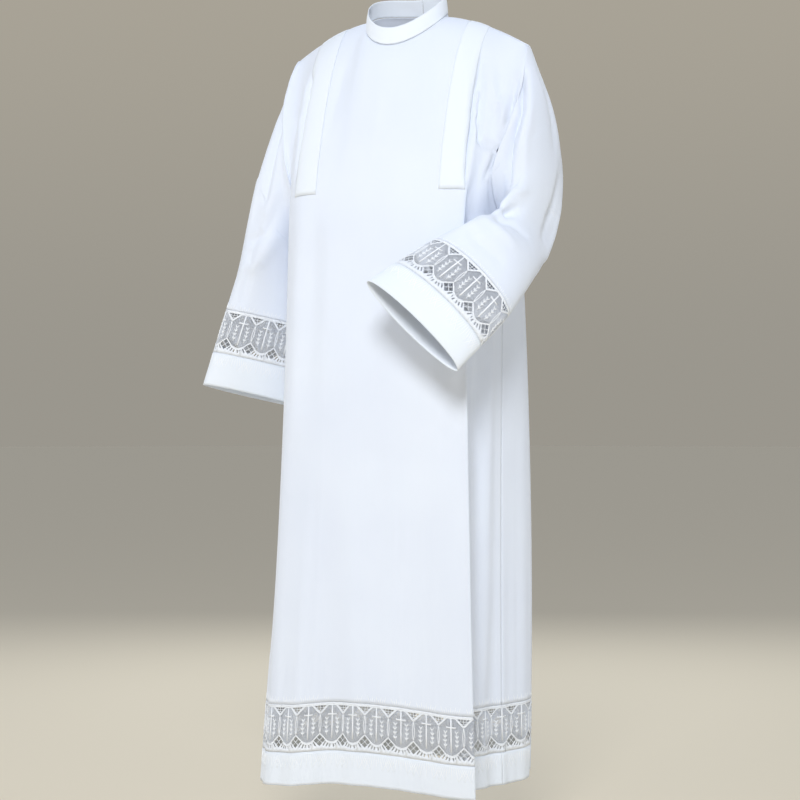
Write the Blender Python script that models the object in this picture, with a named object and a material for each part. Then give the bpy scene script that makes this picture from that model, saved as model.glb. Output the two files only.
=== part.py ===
# Alb robe, worn and hollow: a long white robe with a stand collar, two stitched
# front bands, wide sleeves and one band of cutwork lace at the hem and each cuff.
# The origin lies between the two points where the shoulder seams meet the collar.
# The front faces -Y, the wearer's left is +X, and all sizes are in metres.

import math

import bmesh
import bpy
from mathutils import Vector
from mathutils.geometry import delaunay_2d_cdt

# Driving dimensions
CLOTH = 0.0016
BAND_CLOTH = 0.0013
GAP = 0.0003
NECK_HALF_WIDTH = 0.078
NECK_HALF_DEPTH = 0.072
NECK_LEVEL = -0.0075
NECK_TILT = 0.036
NECK_DIP = 0.0105
COLLAR_HEIGHT = 0.032
COLLAR_LEAN = 0.004
COLLAR_SIDES = 32
COLLAR_OPENING = 0.02
SHOULDER_DROP = 0.058
SHOULDER_RUN = 0.17
SHOULDER_CURVE = 1.6
ARMHOLE_FLARE = 0.8
CHEST_Z = -0.42
WAIST_Z = -0.80
HEM_Z = -1.440
ARMHOLE_INSET = 0.035
LACE_HEIGHT = 0.088
LACE_REPEAT = 0.049
HEM_BAND_HEIGHT = 0.061
BAND_FOOT_Z = -0.353
BACK_FLAP_LENGTH = 0.22
BACK_FLAP_REACH = 0.3
CUFF_REPEATS = 10
SLEEVE_SIDES = 20

# The guides run down the body from the neck, shoulder or armhole to the hem.
# Columns: name, edge (0 to 1 neck, 1 to 2 shoulder, 2 to 3 armhole), rise of the hem there,
# plan place at the chest, waist and hem, first handle forward and down, rise of the
# second handle, and number of mesh columns to the next guide.
GUIDES = (
    ("centre front", 0.0, 0.019, (0.000, -0.165), (0.002, -0.182), (0.012, -0.214), 0.045, 0.05, 0.14, 2),
    ("left neck front", 0.5, 0.0165, (0.058, -0.165), (0.062, -0.182), (0.075, -0.212), 0.055, 0.042, 0.14, 2),
    ("left neck side", 1.0, 0.0115, (0.096, -0.163), (0.104, -0.180), (0.118, -0.207), 0.07, 0.03, 0.14, 2),
    ("left band in", 1.33, 0.006, (0.136, -0.159), (0.148, -0.177), (0.165, -0.198), 0.075, 0.03, 0.14, 2),
    ("left band out", 1.55, 0.0025, (0.190, -0.147), (0.202, -0.166), (0.223, -0.181), 0.075, 0.032, 0.14, 5),
    ("left tuck", 2.0, 0.002, (0.176, -0.122), (0.150, -0.128), (0.146, -0.132), 0.05, 0.07, 0.12, 5),
    ("left side front", 2.5, 0.002, (0.192, -0.090), (0.168, -0.074), (0.168, -0.066), 0.02, 0.05, 0.06, 5),
    ("left seam", 3.0, 0.002, (0.204, -0.010), (0.197, -0.002), (0.199, 0.003), 0.0, 0.01, 0.01, 5),
    ("left side back", 2.5, 0.0055, (0.207, 0.072), (0.214, 0.068), (0.208, 0.072), 0.02, 0.05, 0.06, 5),
    ("left blade", 2.0, 0.0095, (0.184, 0.114), (0.199, 0.120), (0.184, 0.128), 0.05, 0.07, 0.12, 4),
    ("left shoulder", 1.5, 0.012, (0.134, 0.140), (0.146, 0.152), (0.156, 0.176), 0.07, 0.032, 0.14, 4),
    ("left neck back", 1.0, 0.012, (0.080, 0.152), (0.088, 0.166), (0.094, 0.194), 0.062, 0.03, 0.14, 4),
    ("centre back", 0.0, 0.012, (0.000, 0.158), (0.000, 0.172), (0.000, 0.202), 0.04, 0.036, 0.14, 4),
    ("right neck back", 1.0, 0.012, (-0.080, 0.152), (-0.088, 0.164), (-0.096, 0.194), 0.062, 0.03, 0.14, 4),
    ("right shoulder", 1.5, 0.012, (-0.134, 0.140), (-0.150, 0.148), (-0.166, 0.174), 0.07, 0.032, 0.14, 4),
    ("right blade", 2.0, 0.0095, (-0.180, 0.110), (-0.204, 0.112), (-0.228, 0.126), 0.05, 0.07, 0.12, 5),
    ("right side back", 2.5, 0.0055, (-0.203, 0.072), (-0.221, 0.064), (-0.248, 0.060), 0.02, 0.05, 0.06, 5),
    ("right seam", 3.0, 0.0025, (-0.206, -0.010), (-0.226, -0.012), (-0.257, -0.020), 0.0, 0.01, 0.01, 5),
    ("right side front", 2.5, 0.001, (-0.203, -0.086), (-0.219, -0.080), (-0.250, -0.093), 0.02, 0.05, 0.06, 5),
    ("right tip front", 2.0, 0.001, (-0.192, -0.119), (-0.205, -0.118), (-0.229, -0.150), 0.05, 0.07, 0.12, 4),
    ("right band out", 1.64, 0.0035, (-0.172, -0.140), (-0.182, -0.152), (-0.203, -0.191), 0.075, 0.032, 0.14, 3),
    ("right band in", 1.3, 0.0075, (-0.118, -0.158), (-0.128, -0.172), (-0.142, -0.212), 0.075, 0.03, 0.14, 2),
    ("right neck side", 1.0, 0.0125, (-0.086, -0.162), (-0.094, -0.177), (-0.104, -0.216), 0.07, 0.03, 0.14, 2),
    ("right neck front", 0.5, 0.0175, (-0.050, -0.165), (-0.054, -0.181), (-0.058, -0.217), 0.055, 0.042, 0.14, 2),
)
LEFT_SEAM = 7
CENTRE_BACK = 12
RIGHT_SEAM = 17
LEFT_BAND = (3, 4)
RIGHT_BAND = (20, 21)

# Long soft folds of the body.
# Columns: centre (in guides), half width (in guides), depth at the hem, height where it starts.
BODY_FOLDS = (
    (0.9, 0.9, 0.005, -0.75),
    (2.3, 0.9, -0.004, -0.55),
    (6.0, 0.55, 0.010, -0.60),
    (6.75, 0.4, -0.007, -0.75),
    (8.3, 0.8, 0.010, -0.45),
    (9.45, 0.6, 0.016, -0.50),
    (10.5, 0.55, 0.024, -0.35),
    (11.5, 0.5, 0.026, -0.40),
    (12.45, 0.5, 0.023, -0.38),
    (13.4, 0.5, 0.026, -0.42),
    (14.4, 0.55, 0.024, -0.40),
    (15.5, 0.6, 0.018, -0.50),
    (16.7, 0.7, 0.012, -0.62),
    (18.4, 0.8, 0.009, -0.72),
    (21.4, 0.8, 0.007, -0.80),
    (23.1, 0.7, -0.006, -0.90),
    (23.85, 0.6, 0.006, -0.85),
)

# Corners of the left armhole, from the shoulder tip down the front and up the back.
ARMHOLE = (
    (0.242, 0.020, -0.058),
    (0.250, -0.026, -0.130),
    (0.236, -0.062, -0.215),
    (0.211, -0.080, -0.305),
    (0.206, -0.012, -0.386),
    (0.213, 0.064, -0.325),
    (0.234, 0.086, -0.220),
    (0.249, 0.064, -0.128),
)

# Middle of the armhole seen from the side, Y and Z.
ARMHOLE_CENTRE = (0.012, -0.225)

# Rings of the two sleeves, from the upper arm to the cuff.
# Columns: centre, half axis to the outer side, half axis to the front edge, mesh rows before it.
LEFT_RINGS = (
    ((0.2530, 0.006, -0.283), (0.0255, 0.008, 0.122), (-0.0050, -0.084, 0.002), 4),
    ((0.2650, -0.014, -0.362), (0.0300, 0.013, 0.070), (-0.0120, -0.081, 0.012), 3),
    ((0.2520, -0.052, -0.414), (0.0350, -0.012, 0.024), (-0.0220, -0.0880, 0.028), 3),
    ((0.2490, -0.147, -0.4575), (0.0340, -0.030, 0.020), (-0.0510, -0.048, 0.047), 3),
    ((0.2247, -0.203, -0.5020), (0.0260, -0.0325, 0.021), (-0.0690, -0.0125, 0.067), 2),
    ((0.1600, -0.310, -0.5900), (0.0167, -0.0209, 0.0135), (-0.0815, -0.0144, 0.0784), 0),
)
RIGHT_RINGS = (
    ((-0.2470, 0.010, -0.285), (-0.0220, 0.008, 0.118), (0.0050, -0.086, 0.000), 4),
    ((-0.2760, 0.004, -0.420), (-0.0490, 0.010, 0.026), (-0.0180, -0.086, 0.004), 4),
    ((-0.2960, 0.004, -0.562), (-0.0360, 0.029, 0.004), (-0.0560, -0.0770, 0.018), 4),
    ((-0.3305, -0.0105, -0.7125), (-0.0340, 0.028, 0.000), (-0.0650, -0.0783, 0.0225), 0),
)

# Soft folds of the sleeves.
# Columns: angle of the crest, half width of the fold, depth, first and last ring.
LEFT_SLEEVE_FOLDS = (
    (20.0, 34.0, 0.007, 0.2, 2.2),
    (75.0, 26.0, -0.007, 0.3, 2.4),
    (118.0, 26.0, 0.005, 0.6, 3.0),
    (322.0, 26.0, -0.006, 1.2, 3.8),
    (290.0, 30.0, 0.006, 0.4, 2.8),
    (35.0, 26.0, -0.005, 2.0, 4.4),
    (60.0, 24.0, 0.005, 2.6, 4.6),
)
RIGHT_SLEEVE_FOLDS = (
    (30.0, 30.0, 0.007, 0.3, 2.6),
    (75.0, 28.0, -0.006, 0.6, 2.9),
    (125.0, 30.0, 0.006, 0.8, 2.7),
    (235.0, 30.0, 0.006, 0.5, 2.7),
    (290.0, 32.0, -0.007, 0.6, 2.9),
    (330.0, 26.0, 0.006, 0.3, 2.6),
)

# Mesh rows of the panels: shares of the way from the top edge to the chest,
# then heights below the chest.
FRONT_UPPER = (0.0, 0.1, 0.22, 0.35, 0.5, 0.65, 0.79, 0.9, 1.0)
FRONT_LOWER = (-0.50, -0.60, -0.72, -0.86, -1.01, -1.15)
BACK_UPPER = (0.0, 0.12, 0.28, 0.46, 0.66, 0.85, 1.0)
BACK_LOWER = (-0.52, -0.66, -0.82, -0.99, -1.15)

# Cutwork of one lace repeat, about its axis and down from its top edge.
TRIANGLE_HALF_BASE = 0.0150
TRIANGLE_TOP = 0.0045
TRIANGLE_FOOT = 0.0190
DIAMOND_CENTRE = 0.0690
DIAMOND_HALF_WIDTH = 0.0112
DIAMOND_HALF_HEIGHT = 0.0108
DIAMOND_BAR = 0.0012

# Colour, roughness and metallic value of each finish.
FINISHES = {
    "white_cloth": ((0.84, 0.88, 0.94, 1.0), 0.78, 0.0),
    "band_cloth": ((0.90, 0.93, 0.97, 1.0), 0.72, 0.0),
    "lace_net": ((0.74, 0.78, 0.84, 1.0), 0.80, 0.0),
}


def material(name):
    if name in bpy.data.materials:
        return bpy.data.materials[name]
    colour, rough, metal = FINISHES[name]
    made = bpy.data.materials.new(name)
    made.use_nodes = True
    shader = made.node_tree.nodes["Principled BSDF"]
    shader.inputs["Base Color"].default_value = colour
    shader.inputs["Roughness"].default_value = rough
    shader.inputs["Metallic"].default_value = metal
    return made


def hermite(p0, p1, m0, m1, f):
    # Point on the cubic from p0 to p1 with the end slopes m0 and m1.
    a = 2 * f ** 3 - 3 * f ** 2 + 1
    b = f ** 3 - 2 * f ** 2 + f
    c = 3 * f ** 2 - 2 * f ** 3
    d = f ** 3 - f ** 2
    return p0 * a + m0 * b + p1 * c + m1 * d


def slope(before, here, after):
    # Direction of travel at a point, the nearer neighbour counting more.
    near = (here - before).length
    far = (after - here).length
    if near < 1e-9 or far < 1e-9:
        return (after - before) * 0.5
    return ((here - before) / near * far + (after - here) / far * near) / (near + far)


def closed_curve(points, t):
    # Smooth closed curve through the points, t counted in points.
    count = len(points)
    k = int(math.floor(t)) % count
    f = t - math.floor(t)
    p = [points[(k + i - 1) % count] for i in range(4)]
    length = (p[2] - p[1]).length
    return hermite(p[1], p[2], slope(p[0], p[1], p[2]) * length, slope(p[1], p[2], p[3]) * length, f)


def open_curve(points, t):
    # Smooth open curve through the points, t counted in points.
    last = len(points) - 1
    k = min(max(int(math.floor(t)), 0), last - 1)
    f = t - k
    start, end = points[k], points[k + 1]
    before = points[k - 1] if k > 0 else start * 2 - end
    after = points[k + 2] if k + 2 <= last else end * 2 - start
    length = (end - start).length
    return hermite(start, end, slope(before, start, end) * length, slope(start, end, after) * length, f)


def smooth(f):
    f = min(max(f, 0.0), 1.0)
    return f * f * (3 - 2 * f)


def level_mix(z):
    # Weights of the chest, waist and hem outlines at a height, as a smooth parabola.
    a, b, c = CHEST_Z, WAIST_Z, HEM_Z
    return (
        (z - b) * (z - c) / ((a - b) * (a - c)),
        (z - a) * (z - c) / ((b - a) * (b - c)),
        (z - a) * (z - b) / ((c - a) * (c - b)),
    )


def guide_value(t, column):
    # A number of the guide table between two guides.
    k = int(math.floor(t)) % len(GUIDES)
    f = t - math.floor(t)
    return GUIDES[k][column] * (1 - f) + GUIDES[(k + 1) % len(GUIDES)][column] * f


def plain_section(t, z):
    weights = level_mix(z)
    points = []
    for row in GUIDES:
        x = sum(w * place[0] for w, place in zip(weights, row[3:6]))
        y = sum(w * place[1] for w, place in zip(weights, row[3:6]))
        points.append(Vector((x, y, 0.0)))
    return closed_curve(points, t)


def fold_depth(t, z):
    depth = 0.0
    count = len(GUIDES)
    for centre, half, at_hem, start in BODY_FOLDS:
        away = abs((t - centre + count / 2) % count - count / 2) / half
        if away < 1.0:
            grown = smooth((start - z) / (start - HEM_Z))
            depth += at_hem * grown * (0.5 + 0.5 * math.cos(math.pi * away))
    return depth


def body_point(t, z):
    # Outer face of the body below the chest.
    here = plain_section(t, z)
    along = plain_section(t + 0.02, z) - plain_section(t - 0.02, z)
    outward = Vector((along.y, -along.x, 0.0)).normalized()
    place = here + outward * fold_depth(t, z)
    return Vector((place.x, place.y, z))


def level_normal(t, z):
    # Level direction of the cloth's thickness below the chest.
    along = body_point(t + 0.01, z) - body_point(t - 0.01, z)
    return Vector((along.y, -along.x, 0.0)).normalized()


def hem_lift(t):
    # Rise of the hem, on a smooth curve through the guides' values.
    count = len(GUIDES)
    k = int(math.floor(t)) % count
    f = t - math.floor(t)
    p = [GUIDES[(k + i - 1) % count][2] for i in range(4)]
    return hermite(p[1], p[2], (p[2] - p[0]) / 2, (p[3] - p[1]) / 2, f)


def lace_top(t):
    return HEM_Z + hem_lift(t) + HEM_BAND_HEIGHT + LACE_HEIGHT


def neck_point(turn, side):
    # Neckline, turn 0 at the centre front, half at the shoulder and 1 at the back.
    angle = math.pi * turn
    x = NECK_HALF_WIDTH * math.sin(angle) * side
    y = -NECK_HALF_DEPTH * math.cos(angle)
    z = NECK_LEVEL - NECK_TILT * math.cos(angle) - NECK_DIP * math.cos(2 * angle)
    return Vector((x, y, z))


def armhole_point(angle, side):
    points = [Vector(p) for p in ARMHOLE]
    p = closed_curve(points, (angle % 360.0) / 45.0)
    return Vector((p.x * side, p.y, p.z))


def shoulder_point(f, side):
    neck = neck_point(0.5, side)
    tip = armhole_point(0.0, side)
    z = neck.z + (tip.z - neck.z) * f ** SHOULDER_CURVE
    return Vector((neck.x + (tip.x - neck.x) * f, neck.y + (tip.y - neck.y) * f, z))


def top_side(t):
    t = t % len(GUIDES)
    return 1 if t <= CENTRE_BACK else -1


def upper_point(t, share, front):
    # Outer face above the chest: a cubic from the top edge down to the chest outline.
    edge = guide_value(t, 1)
    side = top_side(t)
    if edge <= 1.0:
        start = neck_point(edge / 2 if front else 1 - edge / 2, side)
    elif edge <= 2.0:
        start = shoulder_point(edge - 1.0, side)
    else:
        start = armhole_point((edge - 2.0) * (180.0 if front else -180.0), side)
    end = body_point(t, CHEST_Z)
    forward = guide_value(t, 6) * (-1 if front else 1)
    down = guide_value(t, 7)
    rise = guide_value(t, 8)
    lean = (body_point(t, CHEST_Z - 0.02) - end) / 0.02
    inset = ARMHOLE_INSET * math.sin(math.pi * (edge - 1.6) / 1.4) if edge > 1.6 else 0.0
    first = start + Vector((-inset * side, forward, -down))
    second = end - lean * rise
    a, b = 1 - share, share
    return start * a ** 3 + first * (3 * a * a * b) + second * (3 * a * b * b) + end * b ** 3


def surface_normal(surface, a, b, step_a, step_b):
    along = surface(a + step_a, b) - surface(a - step_a, b)
    down = surface(a, b + step_b) - surface(a, b - step_b)
    return down.cross(along).normalized()


def arm_edge_normal(angle, side):
    # Shared direction of the cloth's thickness along the armhole seam.
    edge = armhole_point(angle, side)
    spoke = Vector((0.0, edge.y - ARMHOLE_CENTRE[0], edge.z - ARMHOLE_CENTRE[1]))
    return (spoke.normalized() + Vector((ARMHOLE_FLARE * side, 0.0, 0.0))).normalized()


def seam_normal(t, front):
    # Shared direction of thickness on the shoulder seam and the armhole.
    edge = guide_value(t, 1)
    side = top_side(t)
    if edge >= 2.0:
        return arm_edge_normal((edge - 2.0) * (180.0 if front else -180.0), side)
    tilt = Vector((SHOULDER_DROP * side, 0.0, SHOULDER_RUN)).normalized()
    if edge >= 1.0:
        f = smooth((edge - 1.0) / 1.0)
        return (tilt * (1 - f) + arm_edge_normal(0.0, side) * f).normalized()
    return None


def columns(first, last):
    # Mesh columns between two guides.
    places = []
    for k in range(first, last):
        cuts = GUIDES[k % len(GUIDES)][9]
        places += [k + i / cuts for i in range(cuts)]
    return places + [float(last)]


def pull_edges(rows, top=True, bottom=True, sides=True):
    # Draws the edges of a grid back by half a seam gap.
    def draw(edge, inner, along=None):
        way = inner - edge
        if along is not None:
            along = along.normalized()
            way = way - along * way.dot(along)
        return edge + way.normalized() * (GAP / 2)

    def draw_row(row, inner):
        count = len(row)
        line = []
        for i in range(count):
            before = row[i - 1] if i > 0 or not sides else row[i]
            after = row[(i + 1) % count] if i < count - 1 or not sides else row[i]
            line.append(draw(row[i], inner[i], after - before))
        return line
    made = [list(row) for row in rows]
    if top:
        made[0] = draw_row(rows[0], rows[1])
    if bottom:
        made[-1] = draw_row(rows[-1], rows[-2])
    if sides:
        for row in made:
            row[0], row[-1] = draw(row[0], row[1]), draw(row[-1], row[-2])
    return made


def grid_faces(rows, cols, closed=False):
    faces = []
    for r in range(rows - 1):
        for c in range(cols if closed else cols - 1):
            d = (c + 1) % cols
            a, b, e, f = r * cols + c, r * cols + d, (r + 1) * cols + c, (r + 1) * cols + d
            faces += [(a, e, f), (a, f, b)]
    return faces


def wall(name, outer, normals, faces, finish, inner=CLOTH, outside=0.0):
    # Closed solid from a sheet of points: the sheet moved out, the sheet moved in,
    # and a rim along every free edge.
    count = len(outer)
    points = [p + n * outside for p, n in zip(outer, normals)]
    points += [p - n * inner for p, n in zip(outer, normals)]
    solid = [tuple(f) for f in faces]
    solid += [tuple(i + count for i in reversed(f)) for f in faces]
    edges = set()
    for f in faces:
        for i, a in enumerate(f):
            edges.add((a, f[(i + 1) % len(f)]))
    for a, b in sorted(edges):
        if (b, a) not in edges:
            solid += [(b, a, a + count), (b, a + count, b + count)]
    mesh = bpy.data.meshes.new(name)
    mesh.from_pydata([tuple(p) for p in points], [], solid)
    tidy = bmesh.new()
    tidy.from_mesh(mesh)
    loose = [v for v in tidy.verts if not v.link_faces]
    bmesh.ops.delete(tidy, geom=loose, context="VERTS")
    bmesh.ops.recalc_face_normals(tidy, faces=tidy.faces)
    tidy.to_mesh(mesh)
    tidy.free()
    mesh.shade_smooth()
    mesh.set_sharp_from_angle(angle=math.radians(40))
    mesh.materials.append(material(finish))
    piece = bpy.data.objects.new(name, mesh)
    bpy.context.scene.collection.objects.link(piece)
    return piece


def panel_grid(first, last, front, upper, lower):
    # Points and normals of a body panel, row by row from its top edge to the lace.
    places = columns(first, last)
    rows = []
    normals = []
    for share in upper:
        rows.append([upper_point(t, share, front) for t in places])
        line = []
        for t in places:
            inside = min(max(share, 0.02), 0.98)
            across = surface_normal(lambda a, b: upper_point(a, b, front), t, inside, 0.01, 0.01)
            fixed = seam_normal(t, front)
            if share == 0.0 and fixed is not None:
                across = fixed
            line.append(across)
        normals.append(line)
    for z in lower:
        rows.append([body_point(t, z) for t in places])
        normals.append([level_normal(t, z) for t in places])
    rows.append([body_point(t, lace_top(t)) for t in places])
    normals.append([level_normal(t, lace_top(t)) for t in places])
    return places, rows, normals


def flat_list(rows):
    return [p for row in rows for p in row]


def make_front():
    first, last = RIGHT_SEAM - len(GUIDES), LEFT_SEAM
    places, rows, normals = panel_grid(first, last, True, FRONT_UPPER, FRONT_LOWER)
    rows = pull_edges(rows)
    faces = grid_faces(len(rows), len(places))
    wall("front_panel", flat_list(rows), flat_list(normals), faces, "white_cloth")
    for name, (start, end) in (("front_band_left", LEFT_BAND), ("front_band_right", RIGHT_BAND)):
        make_band(name, start, end, places, rows, normals)


def make_band(name, start, end, places, rows, normals):
    # A stitched band on the front, made from the panel's own points, moved out.
    if start > LEFT_SEAM:
        start, end = start - len(GUIDES), end - len(GUIDES)
    picked = [i for i, t in enumerate(places) if start - 1e-6 <= t <= end + 1e-6]
    depth = [r for r, row in enumerate(rows) if row[picked[0]].z > BAND_FOOT_Z]
    sheet = [[rows[r][i] for i in picked] for r in depth]
    turned = [[normals[r][i] for i in picked] for r in depth]
    faces = grid_faces(len(sheet), len(picked))
    wall(name, flat_list(sheet), flat_list(turned), faces, "band_cloth", -GAP, GAP + BAND_CLOTH)


def make_back():
    places, rows, normals = panel_grid(LEFT_SEAM, RIGHT_SEAM, False, BACK_UPPER, BACK_LOWER)
    rows = pull_edges(rows)
    faces = grid_faces(len(rows), len(places))
    wall("back_panel", flat_list(rows), flat_list(normals), faces, "white_cloth")
    picked = [i for i, t in enumerate(places) if abs(t - CENTRE_BACK) < BACK_FLAP_REACH]
    depth = [r for r, row in enumerate(rows) if r > 0 and row[picked[1]].z > -BACK_FLAP_LENGTH]
    sheet = [[rows[r][i] for i in picked] for r in depth]
    turned = [[normals[r][i] for i in picked] for r in depth]
    faces = grid_faces(len(sheet), len(picked))
    wall("back_flap", flat_list(sheet), flat_list(turned), faces, "band_cloth", -GAP, GAP + BAND_CLOTH)


def make_collar():
    # Stand collar, one ring open by a seam gap at the centre back.
    steps = COLLAR_SIDES
    rows = []
    normals = []
    for height, lean in ((0.0, 0.0), (COLLAR_HEIGHT / 2, COLLAR_LEAN / 3), (COLLAR_HEIGHT, COLLAR_LEAN)):
        row = []
        line = []
        for i in range(steps + 1):
            turn = -1.0 + 2.0 * (i + COLLAR_OPENING * (1 - 2 * i / steps)) / steps
            base = neck_point(abs(turn), 1 if turn >= 0 else -1)
            out = Vector((base.x, base.y, 0.0)).normalized()
            row.append(base - out * lean + Vector((0.0, 0.0, height + GAP * 2)))
            line.append(out)
        rows.append(row)
        normals.append(line)
    faces = grid_faces(len(rows), steps + 1)
    rows[0] = [p if i % 2 == 0 else (rows[0][i - 1] + rows[0][i + 1]) / 2 for i, p in enumerate(rows[0])]
    wall("collar", flat_list(rows), flat_list(normals), faces, "band_cloth")


def sleeve_point(rings, folds, side, s, angle):
    # Outer face of a sleeve: s counts rings from the armhole, angle runs round it
    # from the outer side over the front edge.
    a = math.radians(angle)
    points = [armhole_point(angle, side)]
    for centre, outer, fore, _ in rings:
        points.append(Vector(centre) + Vector(outer) * math.cos(a) + Vector(fore) * math.sin(a))
    place = open_curve(points, s)
    for crest, half, depth, first, last in folds:
        away = abs((angle - crest + 180.0) % 360.0 - 180.0) / half
        if away < 1.0 and first < s < last:
            grown = math.sin(math.pi * (s - first) / (last - first)) ** 2
            k = min(max(int(round(s)) - 1, 0), len(rings) - 1)
            spoke = Vector(rings[k][1]) * math.cos(a) + Vector(rings[k][2]) * math.sin(a)
            place = place + spoke.normalized() * (depth * grown * (0.5 + 0.5 * math.cos(math.pi * away)))
    return place


def sleeve_normal(rings, folds, side, s, angle):
    if s < 1e-6:
        return arm_edge_normal(angle, side)
    def near(step_s, step_angle):
        return sleeve_point(rings, folds, side, s + step_s, angle + step_angle)

    across = near(0.0, 1.0) - near(0.0, -1.0)
    down = near(0.01, 0.0) - near(-0.01, 0.0)
    out = across.cross(down).normalized() * side
    if s >= len(rings) - 1:
        way = (Vector(rings[-1][0]) - Vector(rings[-2][0])).normalized()
        out = (out - way * out.dot(way)).normalized()
    return out


def cuff_length(rings):
    # Length of the sleeve's last stretch, from the top of the lace to the cuff's edge.
    return (Vector(rings[-1][0]) - Vector(rings[-2][0])).length


def make_sleeve(name, rings, folds, side):
    stops = [0.0]
    for k, row in enumerate(rings[:-1]):
        stops += [k + (i + 1) / row[3] for i in range(row[3])]
    angles = [360.0 * i / SLEEVE_SIDES for i in range(SLEEVE_SIDES)]
    rows = [[sleeve_point(rings, folds, side, s, a) for a in angles] for s in stops]
    normals = [[sleeve_normal(rings, folds, side, s, a) for a in angles] for s in stops]
    rows = pull_edges(rows, sides=False)
    faces = grid_faces(len(rows), SLEEVE_SIDES, closed=True)
    wall("sleeve_" + name, flat_list(rows), flat_list(normals), faces, "white_cloth")
    lace_end = len(rings) - 1 + LACE_HEIGHT / cuff_length(rings)
    make_cuff_band(name, rings, side, lace_end)
    make_cuff_lace(name, rings, side, lace_end)


def make_cuff_band(name, rings, side, start):
    angles = [360.0 * i / SLEEVE_SIDES for i in range(SLEEVE_SIDES)]
    stops = (start, float(len(rings)))
    rows = [[sleeve_point(rings, (), side, s, a) for a in angles] for s in stops]
    depths = [min(s, len(rings) - 0.02) for s in stops]
    normals = [[sleeve_normal(rings, (), side, s, a) for a in angles] for s in depths]
    rows = pull_edges(rows, bottom=False, sides=False)
    faces = grid_faces(len(rows), SLEEVE_SIDES, closed=True)
    wall("cuff_band_" + name, flat_list(rows), flat_list(normals), faces, "band_cloth")


def arc_places(curve, first, last, repeats, samples=400):
    # Places along a curve that part it into equal lengths.
    ticks = [first + (last - first) * i / samples for i in range(samples + 1)]
    points = [curve(t) for t in ticks]
    run = [0.0]
    for a, b in zip(points, points[1:]):
        run.append(run[-1] + (b - a).length)
    made = []
    k = 0
    for i in range(repeats + 1):
        goal = run[-1] * i / repeats
        while k < samples - 1 and run[k + 1] < goal:
            k += 1
        f = (goal - run[k]) / max(run[k + 1] - run[k], 1e-12)
        made.append(ticks[k] + (ticks[k + 1] - ticks[k]) * f)
    return made


def lace_outlines():
    # Outline and cut gaps of one flat repeat, with its axis at zero.
    half = LACE_REPEAT / 2
    marks = (0.0, 0.019, 0.046, 0.069, LACE_HEIGHT)
    outline = [(-half, v) for v in marks]
    outline += [(0.0, LACE_HEIGHT)]
    outline += [(half, v) for v in reversed(marks)]
    outline += [(0.0, 0.0)]
    gaps = [[(-TRIANGLE_HALF_BASE, TRIANGLE_TOP), (0.0, TRIANGLE_FOOT), (TRIANGLE_HALF_BASE, TRIANGLE_TOP)]]
    w, h, bar = DIAMOND_HALF_WIDTH, DIAMOND_HALF_HEIGHT, DIAMOND_BAR
    for dx, dy in ((0, -1), (1, 0), (0, 1), (-1, 0)):
        cx, cy = dx * (w / 2 + bar / 3), DIAMOND_CENTRE + dy * (h / 2 + bar / 3)
        a, b = w / 2 - bar / 2, h / 2 - bar / 2
        gaps.append([(cx - a, cy), (cx, cy + b), (cx + a, cy), (cx, cy - b)])
    return outline, gaps


def lace_faces():
    # Triangles of one flat repeat, with the gaps left open.
    outline, gaps = lace_outlines()
    points = list(outline)
    edges = [(i, (i + 1) % len(outline)) for i in range(len(outline))]
    for gap in gaps:
        base = len(points)
        points += gap
        edges += [(base + i, base + (i + 1) % len(gap)) for i in range(len(gap))]
    scaled = [Vector((x * 1000, v * 1000)) for x, v in points]
    made, _, faces, _, _, _ = delaunay_2d_cdt(scaled, edges, [], 0, 1e-6)
    kept = []
    for face in faces:
        middle = sum((made[i] for i in face), Vector((0.0, 0.0))) / len(face) / 1000
        if not any(inside(middle, gap) for gap in gaps):
            kept.append(tuple(face))
    return [(p.x / 1000, p.y / 1000) for p in made], kept


def inside(point, polygon):
    hit = False
    for (x0, y0), (x1, y1) in zip(polygon, polygon[1:] + polygon[:1]):
        if (y0 > point.y) != (y1 > point.y):
            if point.x < x0 + (x1 - x0) * (point.y - y0) / (y1 - y0):
                hit = not hit
    return hit


def make_lace(name, places, surface, normal, skip):
    # One lace node: the flat repeat laid between each pair of places.
    # surface and normal take a place and a depth below the lace's top edge.
    flat, faces = lace_faces()
    half = LACE_REPEAT / 2
    points = []
    normals = []
    solid = []
    shared = {}
    for k in range(len(places) - 1):
        index = []
        for x, v in flat:
            mark = (round((k + (x + half) / LACE_REPEAT) * 1e4), round(v * 1e6))
            if mark not in shared:
                shared[mark] = len(points)
                part = (x + half) / LACE_REPEAT
                at = places[k] * (1 - part) + places[k + 1] * part
                end_gap = skip * GAP / 2 / (LACE_REPEAT / abs(places[k + 1] - places[k]))
                if k == 0 and part < 1e-6:
                    at += math.copysign(end_gap, places[1] - places[0])
                if k == len(places) - 2 and part > 1 - 1e-6:
                    at -= math.copysign(end_gap, places[1] - places[0])
                depth = min(max(v, GAP / 2), LACE_HEIGHT - GAP / 2)
                points.append(surface(at, depth))
                normals.append(normal(at, depth))
            index.append(shared[mark])
        solid += [tuple(index[i] for i in face) for face in faces]
    wall(name, points, normals, solid, "lace_net")


def make_cuff_lace(name, rings, side, lace_end):
    start = len(rings) - 1

    def at_depth(depth):
        return start + (lace_end - start) * depth / LACE_HEIGHT

    def surface(angle, depth):
        return sleeve_point(rings, (), side, at_depth(depth), angle)

    def normal(angle, depth):
        return sleeve_normal(rings, (), side, min(at_depth(depth), len(rings) - 0.02), angle)

    for part, first in (("outer", -90.0), ("inner", 90.0)):
        places = arc_places(lambda a: surface(a, LACE_HEIGHT / 2), first, first + 180.0, CUFF_REPEATS // 2)
        make_lace("cuff_lace_" + name + "_" + part, places, surface, normal, 1.0)


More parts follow.
